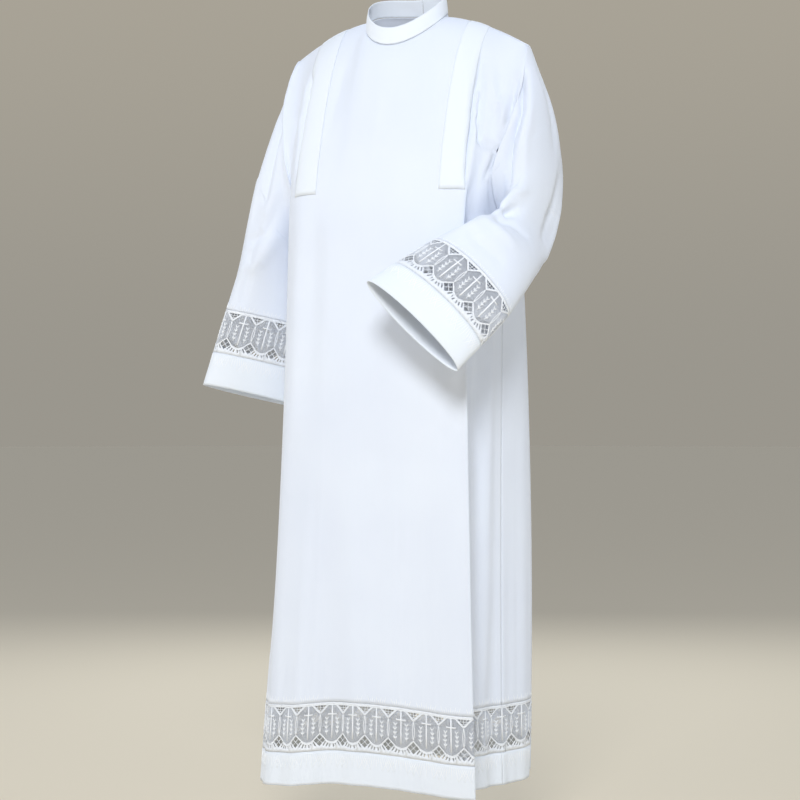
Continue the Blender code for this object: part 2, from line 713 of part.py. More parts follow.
def make_hem():
    def lace_surface(t, depth):
        return body_point(t, lace_top(t) - depth)

    def lace_normal(t, depth):
        return level_normal(t, lace_top(t) - depth)

    count = len(GUIDES)
    halves = (("front", RIGHT_SEAM - count, LEFT_SEAM), ("back", LEFT_SEAM, RIGHT_SEAM))
    for name, first, last in halves:
        middle = LACE_HEIGHT / 2
        fine = arc_places(lambda t: lace_surface(t, middle), first, last, 1000, 2000)
        steps = zip(fine, fine[1:])
        length = sum((lace_surface(b, middle) - lace_surface(a, middle)).length for a, b in steps)
        repeats = int(round(length / LACE_REPEAT))
        print("hem", name, "length", round(length, 3), "repeats", repeats)
        places = arc_places(lambda t: lace_surface(t, middle), first, last, repeats, 2000)
        make_lace("hem_lace_" + name, places, lace_surface, lace_normal, 1.0)
        make_hem_band(name, first, last)


def make_hem_band(name, first, last):
    places = columns(first, last)
    rows = []
    normals = []
    for below in (0.0, HEM_BAND_HEIGHT):
        drop = LACE_HEIGHT + below
        rows.append([body_point(t, lace_top(t) - drop) for t in places])
        normals.append([level_normal(t, lace_top(t) - drop) for t in places])
    rows = pull_edges(rows, bottom=False)
    faces = grid_faces(len(rows), len(places))
    wall("hem_band_" + name, flat_list(rows), flat_list(normals), faces, "band_cloth")


def main():
    for old in list(bpy.data.objects):
        bpy.data.objects.remove(old, do_unlink=True)
    make_collar()
    make_front()
    make_back()
    make_sleeve("left", LEFT_RINGS, LEFT_SLEEVE_FOLDS, 1)
    make_sleeve("right", RIGHT_RINGS, RIGHT_SLEEVE_FOLDS, -1)
    make_hem()


main()
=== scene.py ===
# Alb robe: the looks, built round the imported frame
import math

import bmesh
import bpy
import numpy as np
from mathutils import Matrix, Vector
from mathutils.geometry import delaunay_2d_cdt


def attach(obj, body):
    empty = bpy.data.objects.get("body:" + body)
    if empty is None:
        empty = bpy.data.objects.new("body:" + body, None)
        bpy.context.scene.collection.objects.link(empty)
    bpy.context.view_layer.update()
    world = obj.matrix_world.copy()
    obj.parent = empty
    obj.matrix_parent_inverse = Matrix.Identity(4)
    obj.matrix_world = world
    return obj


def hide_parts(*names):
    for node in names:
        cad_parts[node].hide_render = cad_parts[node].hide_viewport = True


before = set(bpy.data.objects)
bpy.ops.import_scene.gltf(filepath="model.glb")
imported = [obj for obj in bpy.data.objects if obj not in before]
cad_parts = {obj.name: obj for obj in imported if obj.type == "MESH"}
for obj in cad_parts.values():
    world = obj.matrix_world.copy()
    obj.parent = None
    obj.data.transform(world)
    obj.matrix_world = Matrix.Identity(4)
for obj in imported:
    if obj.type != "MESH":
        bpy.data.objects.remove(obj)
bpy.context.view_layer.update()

cameraSet = {
    "azimuth": 26.0,       # the torso is turned this far from the camera, degrees
    "distance": 4.5,
    "eyeHeight": -0.72,
    "sideStep": -0.0133,
    "lens": 106.56,
    "sensor": 36.0,
}

stageSet = {
    "floorZ": -1.58,
    "floorRadius": 40.0,
    "floorSides": 96,
    "floorColor": (0.70, 0.62, 0.48, 1.0),
    # colour of the room, from the floor's far edge (0.5) to straight up (1.0)
    "roomColors": (
        (0.50, (0.325, 0.308, 0.270, 1.0)),
        (0.60, (0.40, 0.37, 0.31, 1.0)),
        (0.70, (0.44, 0.44, 0.43, 1.0)),
        (0.82, (0.48, 0.53, 0.62, 1.0)),
    ),
    "aimZ": -0.75,
    # name, azimuth, height above the floor, distance, size, power, colour
    "lights": (
        ("key", 22.0, 3.0, 4.3, 1.2, 126.0, (0.94, 0.96, 0.985)),
        ("fill", 96.0, 2.0, 4.4, 2.2, 30.0, (0.80, 0.89, 1.0)),
        ("left", -58.0, 2.0, 4.4, 1.6, 42.0, (0.92, 0.955, 1.0)),
        ("rim", 205.0, 2.8, 3.6, 1.8, 55.0, (0.90, 0.95, 1.0)),
    ),
}

bodySet = {
    "chestZ": -0.42,
    "waistZ": -0.80,
    "hemZ": -1.440,
    "neckHalfWidth": 0.078,
    "neckHalfDepth": 0.072,
    "collarHeight": 0.032,
    "collarLean": 0.004,
    "armholeInset": 0.035,
    "neckLine": (-0.0075, 0.036, 0.0105),
    "shoulderBend": 1.6,      # the seam falls more steeply towards its tip
    "insetEdge": 1.6,         # from this edge on the panel curves in towards the armpit
    "clothThick": 0.0009,
    "seamGap": 0.0003,
    "bandTop": 0.15,          # of the lace and band together, about
    "foldSpare": 1.25,        # the folds add this share to the plain length round the hem
    "panelHeights": (0.40, 0.88),
    "columnLength": 0.0045,   # width of a mesh face round the body
    "rowLength": 0.008,
    "creaseCuts": 6,          # a crease's leg is laid on the cloth in so many steps
    "creaseTaper": 0.6,
    "creaseEnd": 0.12,        # share of its depth that a crease keeps at its ends
    "evenPasses": 36,         # evens the cloth over the chest and shoulders
    "evenShare": 0.25,        # moved in one pass
    "evenStart": 0.10,        # full from here on, 0 at the top edge and 1 at the chest
    "evenEnd": 1.25,          # none from here on, after a fade
    "evenFade": 0.3,
    "seamTuck": 0.0006,       # the cloth dips this far along a sewn edge
}

# name, edge, and in millimetres the rise of the hem, the plan place at the chest, waist
# and hem, the first handle forward and down, and the rise of the second handle
guides = (
    ("centre front", 0.0, 19, (0, -165), (2, -182), (12, -214), 45, 50, 140),
    ("left neck front", 0.5, 16.5, (58, -165), (62, -182), (75, -212), 55, 42, 140),
    ("left neck side", 1.0, 11.5, (96, -163), (104, -180), (118, -207), 70, 30, 140),
    ("left band in", 1.33, 6, (136, -159), (148, -177), (165, -198), 75, 30, 140),
    ("left band out", 1.55, 2.5, (190, -147), (202, -166), (223, -181), 75, 32, 140),
    ("left tuck", 2.0, 2, (176, -122), (150, -128), (146, -132), 50, 70, 120),
    ("left side front", 2.5, 2, (192, -90), (168, -74), (168, -66), 20, 50, 60),
    ("left seam", 3.0, 2, (204, -10), (197, -2), (199, 3), 0, 10, 10),
    ("left side back", 2.5, 5.5, (207, 72), (214, 68), (208, 72), 20, 50, 60),
    ("left blade", 2.0, 9.5, (184, 114), (199, 120), (184, 128), 50, 70, 120),
    ("left shoulder", 1.5, 12, (134, 140), (146, 152), (156, 176), 70, 32, 140),
    ("left neck back", 1.0, 12, (80, 152), (88, 166), (94, 194), 62, 30, 140),
    ("centre back", 0.0, 12, (0, 158), (0, 172), (0, 202), 40, 36, 140),
    ("right neck back", 1.0, 12, (-80, 152), (-88, 164), (-96, 194), 62, 30, 140),
    ("right shoulder", 1.5, 12, (-134, 140), (-150, 148), (-166, 174), 70, 32, 140),
    ("right blade", 2.0, 9.5, (-180, 110), (-204, 112), (-228, 126), 50, 70, 120),
    ("right side back", 2.5, 5.5, (-203, 72), (-221, 64), (-248, 60), 20, 50, 60),
    ("right seam", 3.0, 2.5, (-206, -10), (-226, -12), (-257, -20), 0, 10, 10),
    ("right side front", 2.5, 1, (-203, -86), (-219, -80), (-250, -93), 20, 50, 60),
    ("right tip front", 2.0, 1, (-192, -119), (-205, -118), (-229, -150), 50, 70, 120),
    ("right band out", 1.64, 3.5, (-172, -140), (-182, -152), (-203, -191), 75, 32, 140),
    ("right band in", 1.3, 7.5, (-118, -158), (-128, -172), (-142, -212), 75, 30, 140),
    ("right neck side", 1.0, 12.5, (-86, -162), (-94, -177), (-104, -216), 70, 30, 140),
    ("right neck front", 0.5, 17.5, (-50, -165), (-54, -181), (-58, -217), 55, 42, 140),
)
guideCount = len(guides)
leftSeam = 7
centreBack = 12
rightSeam = 17
leftBand = (3.0, 4.0)
rightBand = (20.0 - guideCount, 21.0 - guideCount)

# centre and half width in guides, depth at the hem in millimetres, height of its start
bodyFolds = (
    (0.9, 0.9, 5, -0.75), (2.3, 0.9, -4, -0.55), (6, 0.55, 10, -0.6),
    (6.75, 0.4, -7, -0.75), (8.3, 0.8, 10, -0.45), (9.45, 0.6, 16, -0.5),
    (10.5, 0.55, 24, -0.35), (11.5, 0.5, 26, -0.4), (12.45, 0.5, 23, -0.38),
    (13.4, 0.5, 26, -0.42), (14.4, 0.55, 24, -0.4), (15.5, 0.6, 18, -0.5),
    (16.7, 0.7, 12, -0.62), (18.4, 0.8, 9, -0.72), (21.4, 0.8, 7, -0.8),
    (23.1, 0.7, -6, -0.9), (23.85, 0.6, 6, -0.85),
)
# finer folds of the cloth, laid over the broad ones
softFolds = (
    (0.42, 0.34, 2.2, -0.92), (1.25, 0.3, -2.4, -0.7), (1.95, 0.36, 2.6, -1),
    (2.75, 0.4, -2.2, -0.62), (3.55, 0.26, 2, -0.88), (5.45, 0.3, -3.4, -0.66),
    (6.35, 0.26, 3, -0.58), (7.25, 0.28, -3, -0.74), (7.8, 0.3, 3.2, -0.6),
    (8.75, 0.3, -3.4, -0.52), (9.95, 0.28, -3.6, -0.64), (10.95, 0.26, -3.4, -0.58),
    (12, 0.28, -3.6, -0.5), (12.95, 0.26, -3, -0.66), (13.9, 0.28, -3.6, -0.56),
    (14.95, 0.28, -3, -0.6), (16.1, 0.3, -3, -0.72), (17.45, 0.32, 2.6, -0.56),
    (19.2, 0.3, -2.4, -0.8), (20.6, 0.3, -2.2, -0.96), (22.15, 0.34, 2.6, -0.66),
    (22.65, 0.28, -2.4, -1.02),
)

# places round the left armhole, and then the rings of the sleeves: centre, half axis
# to the outer side, half axis to the front edge, all in millimetres
armhole = (
    (242, 20, -58),
    (250, -26, -130),
    (236, -62, -215),
    (211, -80, -305),
    (206, -12, -386),
    (213, 64, -325),
    (234, 86, -220),
    (249, 64, -128),
)
leftRings = np.array((
    ((253, 6, -283), (25.5, 8, 122), (-5, -84, 2)),
    ((265, -14, -362), (30, 13, 70), (-12, -81, 12)),
    ((252, -52, -414), (35, -12, 24), (-22, -88, 28)),
    ((249, -147, -457.5), (34, -30, 20), (-51, -48, 47)),
    ((224.7, -203, -502), (26, -32.5, 21), (-69, -12.5, 67)),
    ((160, -310, -590), (16.7, -20.9, 13.5), (-81.5, -14.4, 78.4)),
)) / 1000
rightRings = np.array((
    ((-247, 10, -285), (-22, 8, 118), (5, -86, 0)),
    ((-276, 4, -420), (-49, 10, 26), (-18, -86, 4)),
    ((-296, 4, -562), (-36, 29, 4), (-56, -77, 18)),
    ((-330.5, -10.5, -712.5), (-34, 28, 0), (-65, -78.3, 22.5)),
)) / 1000

# angle of the crest, half width, depth in millimetres, first and last ring
leftSleeveFolds = (
    (20, 34, 7, 0.2, 2.2), (75, 26, -7, 0.3, 2.4), (118, 26, 5, 0.6, 3),
    (322, 26, -6, 1.2, 3.8), (290, 30, 6, 0.4, 2.8), (35, 26, -5, 2, 4.4),
    (60, 24, 5, 2.6, 4.6),
)
rightSleeveFolds = (
    (30, 30, 7, 0.3, 2.6), (75, 28, -6, 0.6, 2.9), (125, 30, 6, 0.8, 2.7),
    (235, 30, 6, 0.5, 2.7), (290, 32, -7, 0.6, 2.9), (330, 26, 6, 0.3, 2.6),
)

# half width, depth (minus is a trough) and the points that the crease follows, all in
# millimetres
frontCreases = (
    (7, -13, ((180, -45, -70), (197, -95, -147), (202, -130, -258), (198, -140, -330))),
    (6, -13, ((203, -75, -110), (216, -98, -200), (219, -105, -315))),
    (10, 6, ((214, -60, -100), (228, -80, -190), (228, -90, -290))),
    (9, -11, ((238, -40, -110), (234, -65, -200), (218, -88, -300))),
    (10, 2.8, ((150, -60, -55), (170, -110, -140), (176, -135, -240))),
    (8, -12, ((-186, -60, -90), (-190, -100, -170), (-188, -128, -300))),
    (10, 5, ((-204, -50, -100), (-206, -85, -190), (-200, -105, -310))),
    (8, -6, ((196, -118, -335), (186, -132, -385), (184, -140, -425))),
    (26, -5, ((-112, -155, -345), (-118, -166, -500), (-128, -172, -740))),
    (20, 4, ((-146, -150, -350), (-156, -158, -520), (-160, -168, -800))),
    (30, 3.5, ((-80, -160, -370), (-86, -174, -600), (-90, -190, -900))),
    (20, -3.5, ((160, -152, -345), (164, -165, -550), (170, -178, -850))),
    (40, -3, ((40, -170, -450), (20, -185, -800), (30, -205, -1250))),
    (34, 3, ((-20, -172, -600), (-30, -190, -950), (-32, -208, -1280))),
    (10, -3, ((100, -85, -60), (112, -120, -140), (122, -140, -230))),
    (12, -3, ((-98, -80, -60), (-104, -115, -140), (-108, -138, -230))),
    (18, 2.5, ((0, -85, -75), (4, -130, -180), (0, -155, -300))),
    (12, -5, ((-222, -70, -110), (-214, -95, -220), (-200, -112, -340))),
    (14, -5, ((172, -70, -560), (168, -60, -850), (170, -55, -1250))),
    (12, 5, ((190, -35, -520), (184, -35, -850), (186, -30, -1250))),
    (16, -4.5, ((-222, -70, -500), (-226, -85, -800), (-240, -110, -1200))),
)
backCreases = (
    (14, -5, ((205, 85, -120), (205, 95, -230), (196, 96, -350))),
    (14, -5, ((-205, 85, -120), (-205, 95, -230), (-196, 96, -350))),
    (22, -5, ((90, 120, -140), (86, 142, -300), (80, 152, -520))),
    (20, 5, ((40, 110, -160), (42, 140, -330), (44, 158, -560))),
    (20, -4.5, ((-30, 112, -170), (-36, 145, -320), (-40, 158, -600))),
    (22, 5, ((-86, 118, -150), (-88, 140, -310), (-92, 154, -560))),
    (16, -4, ((-140, 110, -200), (-142, 130, -360), (-150, 138, -620))),
    (18, -4, ((150, 110, -200), (152, 126, -360), (160, 138, -700))),
)
leftSleeveCreases = (
    (8, -15, ((262, -40, -95), (260, -65, -190), (243, -88, -270), (224, -105, -335))),
    (6, -10, ((236, -120, -392), (252, -118, -388), (268, -105, -380))),
    (12, 4, ((268, -30, -100), (272, -50, -200), (266, -75, -300))),
    (9, -7, ((218, -128, -385), (245, -122, -382), (275, -95, -372))),
    (9, 4.5, ((216, -126, -362), (244, -112, -352), (280, -70, -335))),
    (11, -6, ((214, -140, -400), (250, -140, -415), (290, -110, -430))),
    (12, 5, ((210, -160, -408), (240, -168, -425), (280, -155, -455))),
    (11, -4.5, ((205, -180, -420), (235, -195, -450), (270, -185, -490))),
    (12, -5, ((292, 40, -300), (300, 10, -370), (300, -40, -430))),
    (12, 4.5, ((285, 60, -350), (292, 30, -420), (300, -30, -470))),
    (10, -4.5, ((262, 70, -420), (285, 30, -460), (305, -50, -500))),
    (12, -4, ((262, 30, -90), (284, 30, -180), (294, 20, -260))),
)
rightSleeveCreases = (
    (9, -12, ((-250, -50, -100), (-262, -72, -220), (-270, -84, -340))),
    (12, 5, ((-272, -40, -160), (-290, -60, -300), (-312, -64, -460))),
    (12, -5, ((-300, -30, -330), (-322, -40, -440), (-338, -50, -540))),
    (10, -5, ((-268, -82, -360), (-296, -85, -440), (-316, -85, -540))),
    (10, -4.5, ((-235, -70, -330), (-260, -80, -400), (-300, -62, -420))),
    (12, 4, ((-240, -75, -400), (-272, -82, -450), (-312, -60, -470))),
    (12, -5, ((-262, 80, -180), (-266, 86, -320), (-262, 82, -500))),
    (12, 5, ((-290, 60, -180), (-300, 66, -320), (-300, 72, -500))),
)

laceSet = {
    "height": 0.088,
    "repeat": 0.049,
    "bandHeight": 0.061,
    "thick": 0.0007,
    "triangleHalf": 0.0150,
    "triangleTop": 0.0045,
    "triangleFoot": 0.0190,
    "fieldTop": 0.0052,
    "fieldShoulder": 0.0212,
    "diamondCentre": 0.0690,
    "diamondHalfWidth": 0.0112,
    "diamondHalfHeight": 0.0108,
    "diamondBar": 0.0008,
    "fieldFoot": 0.0725,
    "netThreads": 30,         # each way in one repeat
    "netSlope": 1.25,
    "netHalf": 0.00030,
    "netStep": 0.0008,
    "netOver": 0.0004,        # a thread runs this far past the net's edge
    "netKeep": 10,           # one point of a thread kept out of so many steps
    "satinHalf": 0.00085,
    "satinHigh": 0.00055,
    "satinFoot": -0.0002,
    "netFoot": -0.00035,
    "netTop": 0.00005,
    "netLift": 0.00012,       # the threads of one way lie over the others
    "tipGap": 0.0022,         # ground between the net and the tip of a diamond
    "tipCorner": 0.013,       # the net's lower edge turns here, from the diamond's axis
    "hemRepeats": {"Front": 18, "Back": 17},
    "cuffRepeats": 10,
}

stitchSet = {
    "length": 0.0024,
    "pitch": 0.0034,
    "half": 0.00032,
    "high": 0.00030,
}


# Surfaces of the robe, the same as the frame's solids

guideEdge = np.array([row[1] for row in guides])
guideLift = np.array([row[2] for row in guides]) / 1000
guidePlan = np.array([row[3:6] for row in guides]) / 1000      # guide, level, x and y
guideHandles = np.array([row[6:9] for row in guides]) / 1000
armholePlaces = np.array(armhole) / 1000


def unit(ways):
    return ways / np.maximum(np.linalg.norm(ways, axis=-1, keepdims=True), 1e-12)


def runAlong(line):
    # the length run so far at each point of a line
    return np.concatenate([[0], np.cumsum(np.linalg.norm(np.diff(line, axis=0), axis=1))])


def placeAlong(where, run, values):
    return np.stack([np.interp(where, run, values[:, i]) for i in range(3)], axis=-1)


def smoothStep(f):
    f = np.clip(f, 0.0, 1.0)
    return f * f * (3 - 2 * f)


def hermite(p0, p1, m0, m1, f):
    return (p0 * (2 * f ** 3 - 3 * f ** 2 + 1) + m0 * (f ** 3 - 2 * f ** 2 + f)
            + p1 * (3 * f ** 2 - 2 * f ** 3) + m1 * (f ** 3 - f ** 2))


def curveSlope(before, here, after):
    near = np.maximum(np.linalg.norm(here - before, axis=-1, keepdims=True), 1e-9)
    far = np.maximum(np.linalg.norm(after - here, axis=-1, keepdims=True), 1e-9)
    return ((here - before) / near * far + (after - here) / far * near) / (near + far)


def curveThrough(p, f):
    # p holds four points for each place, and the curve runs between the middle two
    span = np.linalg.norm(p[2] - p[1], axis=-1, keepdims=True)
    first = curveSlope(p[0], p[1], p[2]) * span
    last = curveSlope(p[1], p[2], p[3]) * span
    return hermite(p[1], p[2], first, last, f[..., None])


def levelWeights(z):
    a, b, c = bodySet["chestZ"], bodySet["waistZ"], bodySet["hemZ"]
    return np.stack([
        (z - b) * (z - c) / ((a - b) * (a - c)),
        (z - a) * (z - c) / ((b - a) * (b - c)),
        (z - a) * (z - b) / ((c - a) * (c - b)),
    ], axis=-1)


def plainSection(t, z):
    k = np.floor(t).astype(int)
    f = t - k
    w = levelWeights(z)
    p = [np.einsum("...l,...lc->...c", w, guidePlan[(k + i - 1) % guideCount]) for i in range(4)]
    return curveThrough(p, f)


def swell(away):
    # a fold's rounded section: 1 on its crest and 0 from one half width away
    return 0.5 + 0.5 * np.cos(math.pi * np.minimum(away, 1))


def foldDepth(t, z):
    depth = np.zeros(np.broadcast(t, z).shape)
    for centre, half, atHem, start in bodyFolds + softFolds:
        away = np.abs((t - centre + guideCount / 2) % guideCount - guideCount / 2) / half
        grown = smoothStep((start - z) / (start - bodySet["hemZ"]))
        depth += atHem / 1000 * grown * swell(away)
    return depth


def levelNormal(t, z):
    along = plainSection(t + 0.02, z) - plainSection(t - 0.02, z)
    return unit(np.stack([along[..., 1], -along[..., 0]], axis=-1))


def bodyPoint(t, z):
    t, z = np.broadcast_arrays(np.asarray(t, float), np.asarray(z, float))
    place = plainSection(t, z) + levelNormal(t, z) * foldDepth(t, z)[..., None]
    return np.concatenate([place, z[..., None]], axis=-1)


def hemLift(t):
    k = np.floor(t).astype(int)
    p = [guideLift[(k + i - 1) % guideCount] for i in range(4)]
    return hermite(p[1], p[2], (p[2] - p[0]) / 2, (p[3] - p[1]) / 2, t - k)


def laceTop(t):
    return bodySet["hemZ"] + hemLift(t) + laceSet["bandHeight"] + laceSet["height"]


def neckPoint(turn, side):
    # the neck line dips at the front and rises at the sides and the back
    angle = math.pi * turn
    x = bodySet["neckHalfWidth"] * np.sin(angle) * side
    y = -bodySet["neckHalfDepth"] * np.cos(angle)
    level, dip, saddle = bodySet["neckLine"]
    z = level - dip * np.cos(angle) - saddle * np.cos(2 * angle)
    return np.stack(np.broadcast_arrays(x, y, z), axis=-1)


def armholePoint(angle, side):
    t = (np.asarray(angle, float) % 360.0) / 45.0
    k = np.floor(t).astype(int)
    p = [armholePlaces[(k + i - 1) % len(armhole)] for i in range(4)]
    place = curveThrough(p, t - k)
    place[..., 0] *= side
    return place


def shoulderPoint(f, side):
    neck = neckPoint(np.full(np.shape(f), 0.5), side)
    tip = armholePoint(np.zeros(np.shape(f)), side)
    bent = np.stack([f, f, np.maximum(f, 0) ** bodySet["shoulderBend"]], axis=-1)
    return neck + (tip - neck) * bent


def mixGuides(values, t):
    k = np.floor(t).astype(int)
    f = t - k
    if values.ndim > 1:
        f = f[..., None]
    return values[k % guideCount] * (1 - f) + values[(k + 1) % guideCount] * f


def upperPoint(t, share, front):
    t, share = np.broadcast_arrays(np.asarray(t, float), np.asarray(share, float))
    edge = mixGuides(guideEdge, t)
    side = np.where(t % guideCount <= centreBack, 1.0, -1.0)
    neck = neckPoint(edge / 2 if front else 1 - edge / 2, side)
    shoulder = shoulderPoint(edge - 1.0, side)
    arm = armholePoint((edge - 2.0) * (180.0 if front else -180.0), side)
    start = np.where((edge <= 1.0)[..., None], neck, np.where((edge <= 2.0)[..., None], shoulder, arm))
    chest = np.full(t.shape, bodySet["chestZ"])
    end = bodyPoint(t, chest)
    lean = (bodyPoint(t, chest - 0.02) - end) / 0.02
    handles = mixGuides(guideHandles, t)
    forward = handles[..., 0] * (-1 if front else 1)
    begin = bodySet["insetEdge"]
    inset = bodySet["armholeInset"] * np.sin(math.pi * (edge - begin) / (3 - begin))
    inset = np.where(edge > begin, inset, 0.0)
    first = start + np.stack([-inset * side, forward, -handles[..., 1]], axis=-1)
    second = end - lean * handles[..., 2:3]
    b = share[..., None]
    a = 1 - b
    return start * a ** 3 + first * (3 * a * a * b) + second * (3 * a * b * b) + end * b ** 3


def panelPoint(t, q, front):
    # q runs from 0 at the top edge to 1 at the chest and 2 at the lace
    t, q = np.broadcast_arrays(np.asarray(t, float), np.asarray(q, float))
    top = upperPoint(t, np.clip(q, 0, 1), front)
    chest = bodySet["chestZ"]
    z = chest + (laceTop(t) - chest) * np.clip(q - 1, 0, 1)
    return np.where((q < 1)[..., None], top, bodyPoint(t, z))


def sleevePoint(rings, folds, side, s, angle):
    # s runs from 0 at the armhole through the rings
    s, angle = np.broadcast_arrays(np.asarray(s, float), np.asarray(angle, float))
    a = np.radians(angle)
    spokes = np.cos(a)[..., None, None] * rings[:, 1] + np.sin(a)[..., None, None] * rings[:, 2]
    stack = [armholePoint(angle, side)]
    stack += [ring[0] + spokes[..., i, :] for i, ring in enumerate(rings)]
    padded = np.stack([stack[0] * 2 - stack[1]] + stack + [stack[-1] * 2 - stack[-2]])
    k = np.clip(np.floor(s).astype(int), 0, len(rings) - 1)
    near = [np.take_along_axis(padded, (k + i)[None, ..., None], axis=0)[0] for i in range(4)]
    place = curveThrough(near, s - k)
    ring = np.clip(np.round(s).astype(int) - 1, 0, len(rings) - 1)
    spoke = unit(np.take_along_axis(spokes, ring[..., None, None], axis=-2)[..., 0, :])
    for crest, half, depth, first, last in folds:
        away = np.abs((angle - crest + 180.0) % 360.0 - 180.0) / half
        grown = np.sin(math.pi * (s - first) / (last - first)) ** 2
        grown = np.where((s > first) & (s < last), grown, 0)
        place = place + spoke * (depth / 1000 * grown * swell(away))[..., None]
    return place


# Mesh helpers

def gridNormals(points, closed, flip=1.0):
    # points is rows by columns by three
    if closed:
        sideways = np.roll(points, -1, axis=1) - np.roll(points, 1, axis=1)
    else:
        sideways = np.gradient(points, axis=1)
    return unit(np.cross(np.gradient(points, axis=0), sideways) * flip)


def gridFaces(rows, cols, closed):
    r, c = np.meshgrid(np.arange(rows - 1), np.arange(cols if closed else cols - 1), indexing="ij")
    d = (c + 1) % cols
    corners = (r * cols + c, (r + 1) * cols + c, (r + 1) * cols + d, r * cols + d)
    return np.stack(corners, axis=-1).reshape(-1, 4)


def meshFrom(name, points, faces, mat, uv=None):
    mesh = bpy.data.meshes.new(name)
    mesh.from_pydata(np.asarray(points).tolist(), [], [list(map(int, f)) for f in faces])
    mesh.materials.append(mat)
    if uv is not None:
        layer = mesh.uv_layers.new(name="cloth")
        index = np.zeros(len(mesh.loops), np.int32)
        mesh.loops.foreach_get("vertex_index", index)
        layer.data.foreach_set("uv", np.asarray(uv, np.float32)[index].ravel())
    mesh.polygons.foreach_set("use_smooth", np.ones(len(mesh.polygons), bool))
    mesh.update()
    piece = bpy.data.objects.new(name, mesh)
    bpy.context.scene.collection.objects.link(piece)
    return piece


def shell(name, outer, normals, faces, mat, thick, uv):
    # closed thin cloth: the sheet, its inner side and a rim along each free edge
    outer = np.asarray(outer).reshape(-1, 3)
    normals = np.asarray(normals).reshape(-1, 3)
    count = len(outer)
    faces = [tuple(int(i) for i in f) for f in faces]
    made = faces + [tuple(i + count for i in reversed(f)) for f in faces]
    edges = set()
    for f in faces:
        edges.update(zip(f, f[1:] + f[:1]))
    made += [(b, a, a + count, b + count) for a, b in sorted(edges) if (b, a) not in edges]
    points = np.concatenate([outer, outer - normals * thick])
    return meshFrom(name, points, made, mat, np.concatenate([uv, uv]))


def gridUv(points):
    # cloth coordinates in metres, from the lengths along the middle row and column
    rows, cols = points.shape[:2]
    uu, vv = np.meshgrid(runAlong(points[rows // 2]), -runAlong(points[:, cols // 2]))
    return np.stack([uu, vv], axis=-1).reshape(-1, 2)


def rest(piece, node):
    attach(piece, "root")
    if node:
        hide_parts(node)


def clothPiece(name, node, points, normals, mat, thick, flat=None, tubeSide=0):
    # one piece of cloth from its grid, which closes to a tube on a sleeve's side
    faces = gridFaces(points.shape[0], points.shape[1], tubeSide != 0)
    if tubeSide > 0:
        faces = faces[:, ::-1]
    piece = shell(name, points, normals, faces, mat, thick, gridUv(points if flat is None else flat))
    rest(piece, node)
    print(name, len(piece.data.polygons))


def creased(points, normals, creases):
    # moves the cloth along its normals near each listed crease
    flat = points.reshape(-1, 3)
    out = normals.reshape(-1, 3)
    move = np.zeros(len(flat))
    for half, depth, path in creases:
        path = np.array(path) / 1000
        places = np.linspace(0, len(path) - 1, (len(path) - 1) * bodySet["creaseCuts"] + 1)
        route = placeAlong(places, np.arange(len(path)), path)
        path = np.array([flat[np.argmin(((flat - p) ** 2).sum(axis=1))] for p in route])
        best = np.full(len(flat), 1e9)
        where = np.zeros(len(flat))
        legs = len(path) - 1
        for i in range(legs):
            a, b = path[i], path[i + 1]
            leg = b - a
            f = np.clip((flat - a) @ leg / max(leg @ leg, 1e-12), 0, 1)
            away = np.linalg.norm(flat - a - f[:, None] * leg, axis=1)
            near = away < best
            best = np.where(near, away, best)
            where = np.where(near, (i + f) / legs, where)
        taper = np.sin(math.pi * np.clip(where, 0.0, 1.0)) ** bodySet["creaseTaper"]
        kept = bodySet["creaseEnd"] + (1 - bodySet["creaseEnd"]) * taper
        move += depth / 1000 * np.exp(-(best * 1000 / half) ** 2) * kept
    return (flat + out * move[:, None]).reshape(points.shape)


# Finishes

clothSet = {
    "waveScale": 0.314,       # of the wave node, for a thread one metre wide
    "wave": {"Distortion": 0.6, "Detail": 1.0, "Detail Scale": 0.4},
    "weaveBump": {"Strength": 0.25, "Distance": 0.00012},
    "stretch": (1.0, 1.0, 0.28),
    "crumple": {"Scale": 16.0, "Detail": 3.0, "Roughness": 0.45},
    "tone": {"Scale": 5.0, "Detail": 2.0},
    "toneEnds": (0.3, 0.7),
    # colour, deep colour, roughness, sheen, thread and depth of the crumple
    "robeCloth": ((0.80, 0.85, 0.945, 1), (0.765, 0.815, 0.92, 1), 0.82, 0.30, 0.0006, 0.0044),
    "bandCloth": ((0.84, 0.89, 0.96, 1), (0.815, 0.865, 0.94, 1), 0.76, 0.30, 0.0006, 0.0014),
    "laceGround": ((0.86, 0.89, 0.94, 1), (0.80, 0.84, 0.90, 1), 0.70, 0.25, 0.0008, 0.0006),
}
satinSet = {
    "ribs": {"Scale": 1400.0, "Detail": 2.0},
    "bump": {"Strength": 0.5, "Distance": 0.0002},
    "sheen": 0.15,
    # colour, deep colour and roughness
    "laceThread": ((0.95, 0.97, 0.99, 1), (0.87, 0.90, 0.95, 1), 0.50),
    # the net thread is painted grey instead of white: painted shade for the dark seen through the net
    "netThreadPaintedShade": ((0.77, 0.80, 0.86, 1), (0.68, 0.72, 0.79, 1), 0.70),
    "sewThread": ((0.90, 0.93, 0.97, 1), (0.82, 0.86, 0.92, 1), 0.55),
}


def setInputs(node, values):
    for key, value in values.items():
        node.inputs[key].default_value = value


def addNode(tree, kind, values=None, **feeds):
    # a shader node with its values, and the outputs that feed its first inputs by name
    node = tree.nodes.new("ShaderNode" + kind)
    setInputs(node, values or {})
    for key, output in feeds.items():
        tree.links.new(output, node.inputs[key])
    return node


def newMaterial(name, color, rough, sheen):
    mat = bpy.data.materials.new(name)
    mat.use_nodes = True
    shader = mat.node_tree.nodes["Principled BSDF"]
    setInputs(shader, {"Base Color": color, "Roughness": rough, "Sheen Weight": sheen,
                       "Sheen Roughness": 0.5, "Specular IOR Level": 0.25})
    return mat, shader


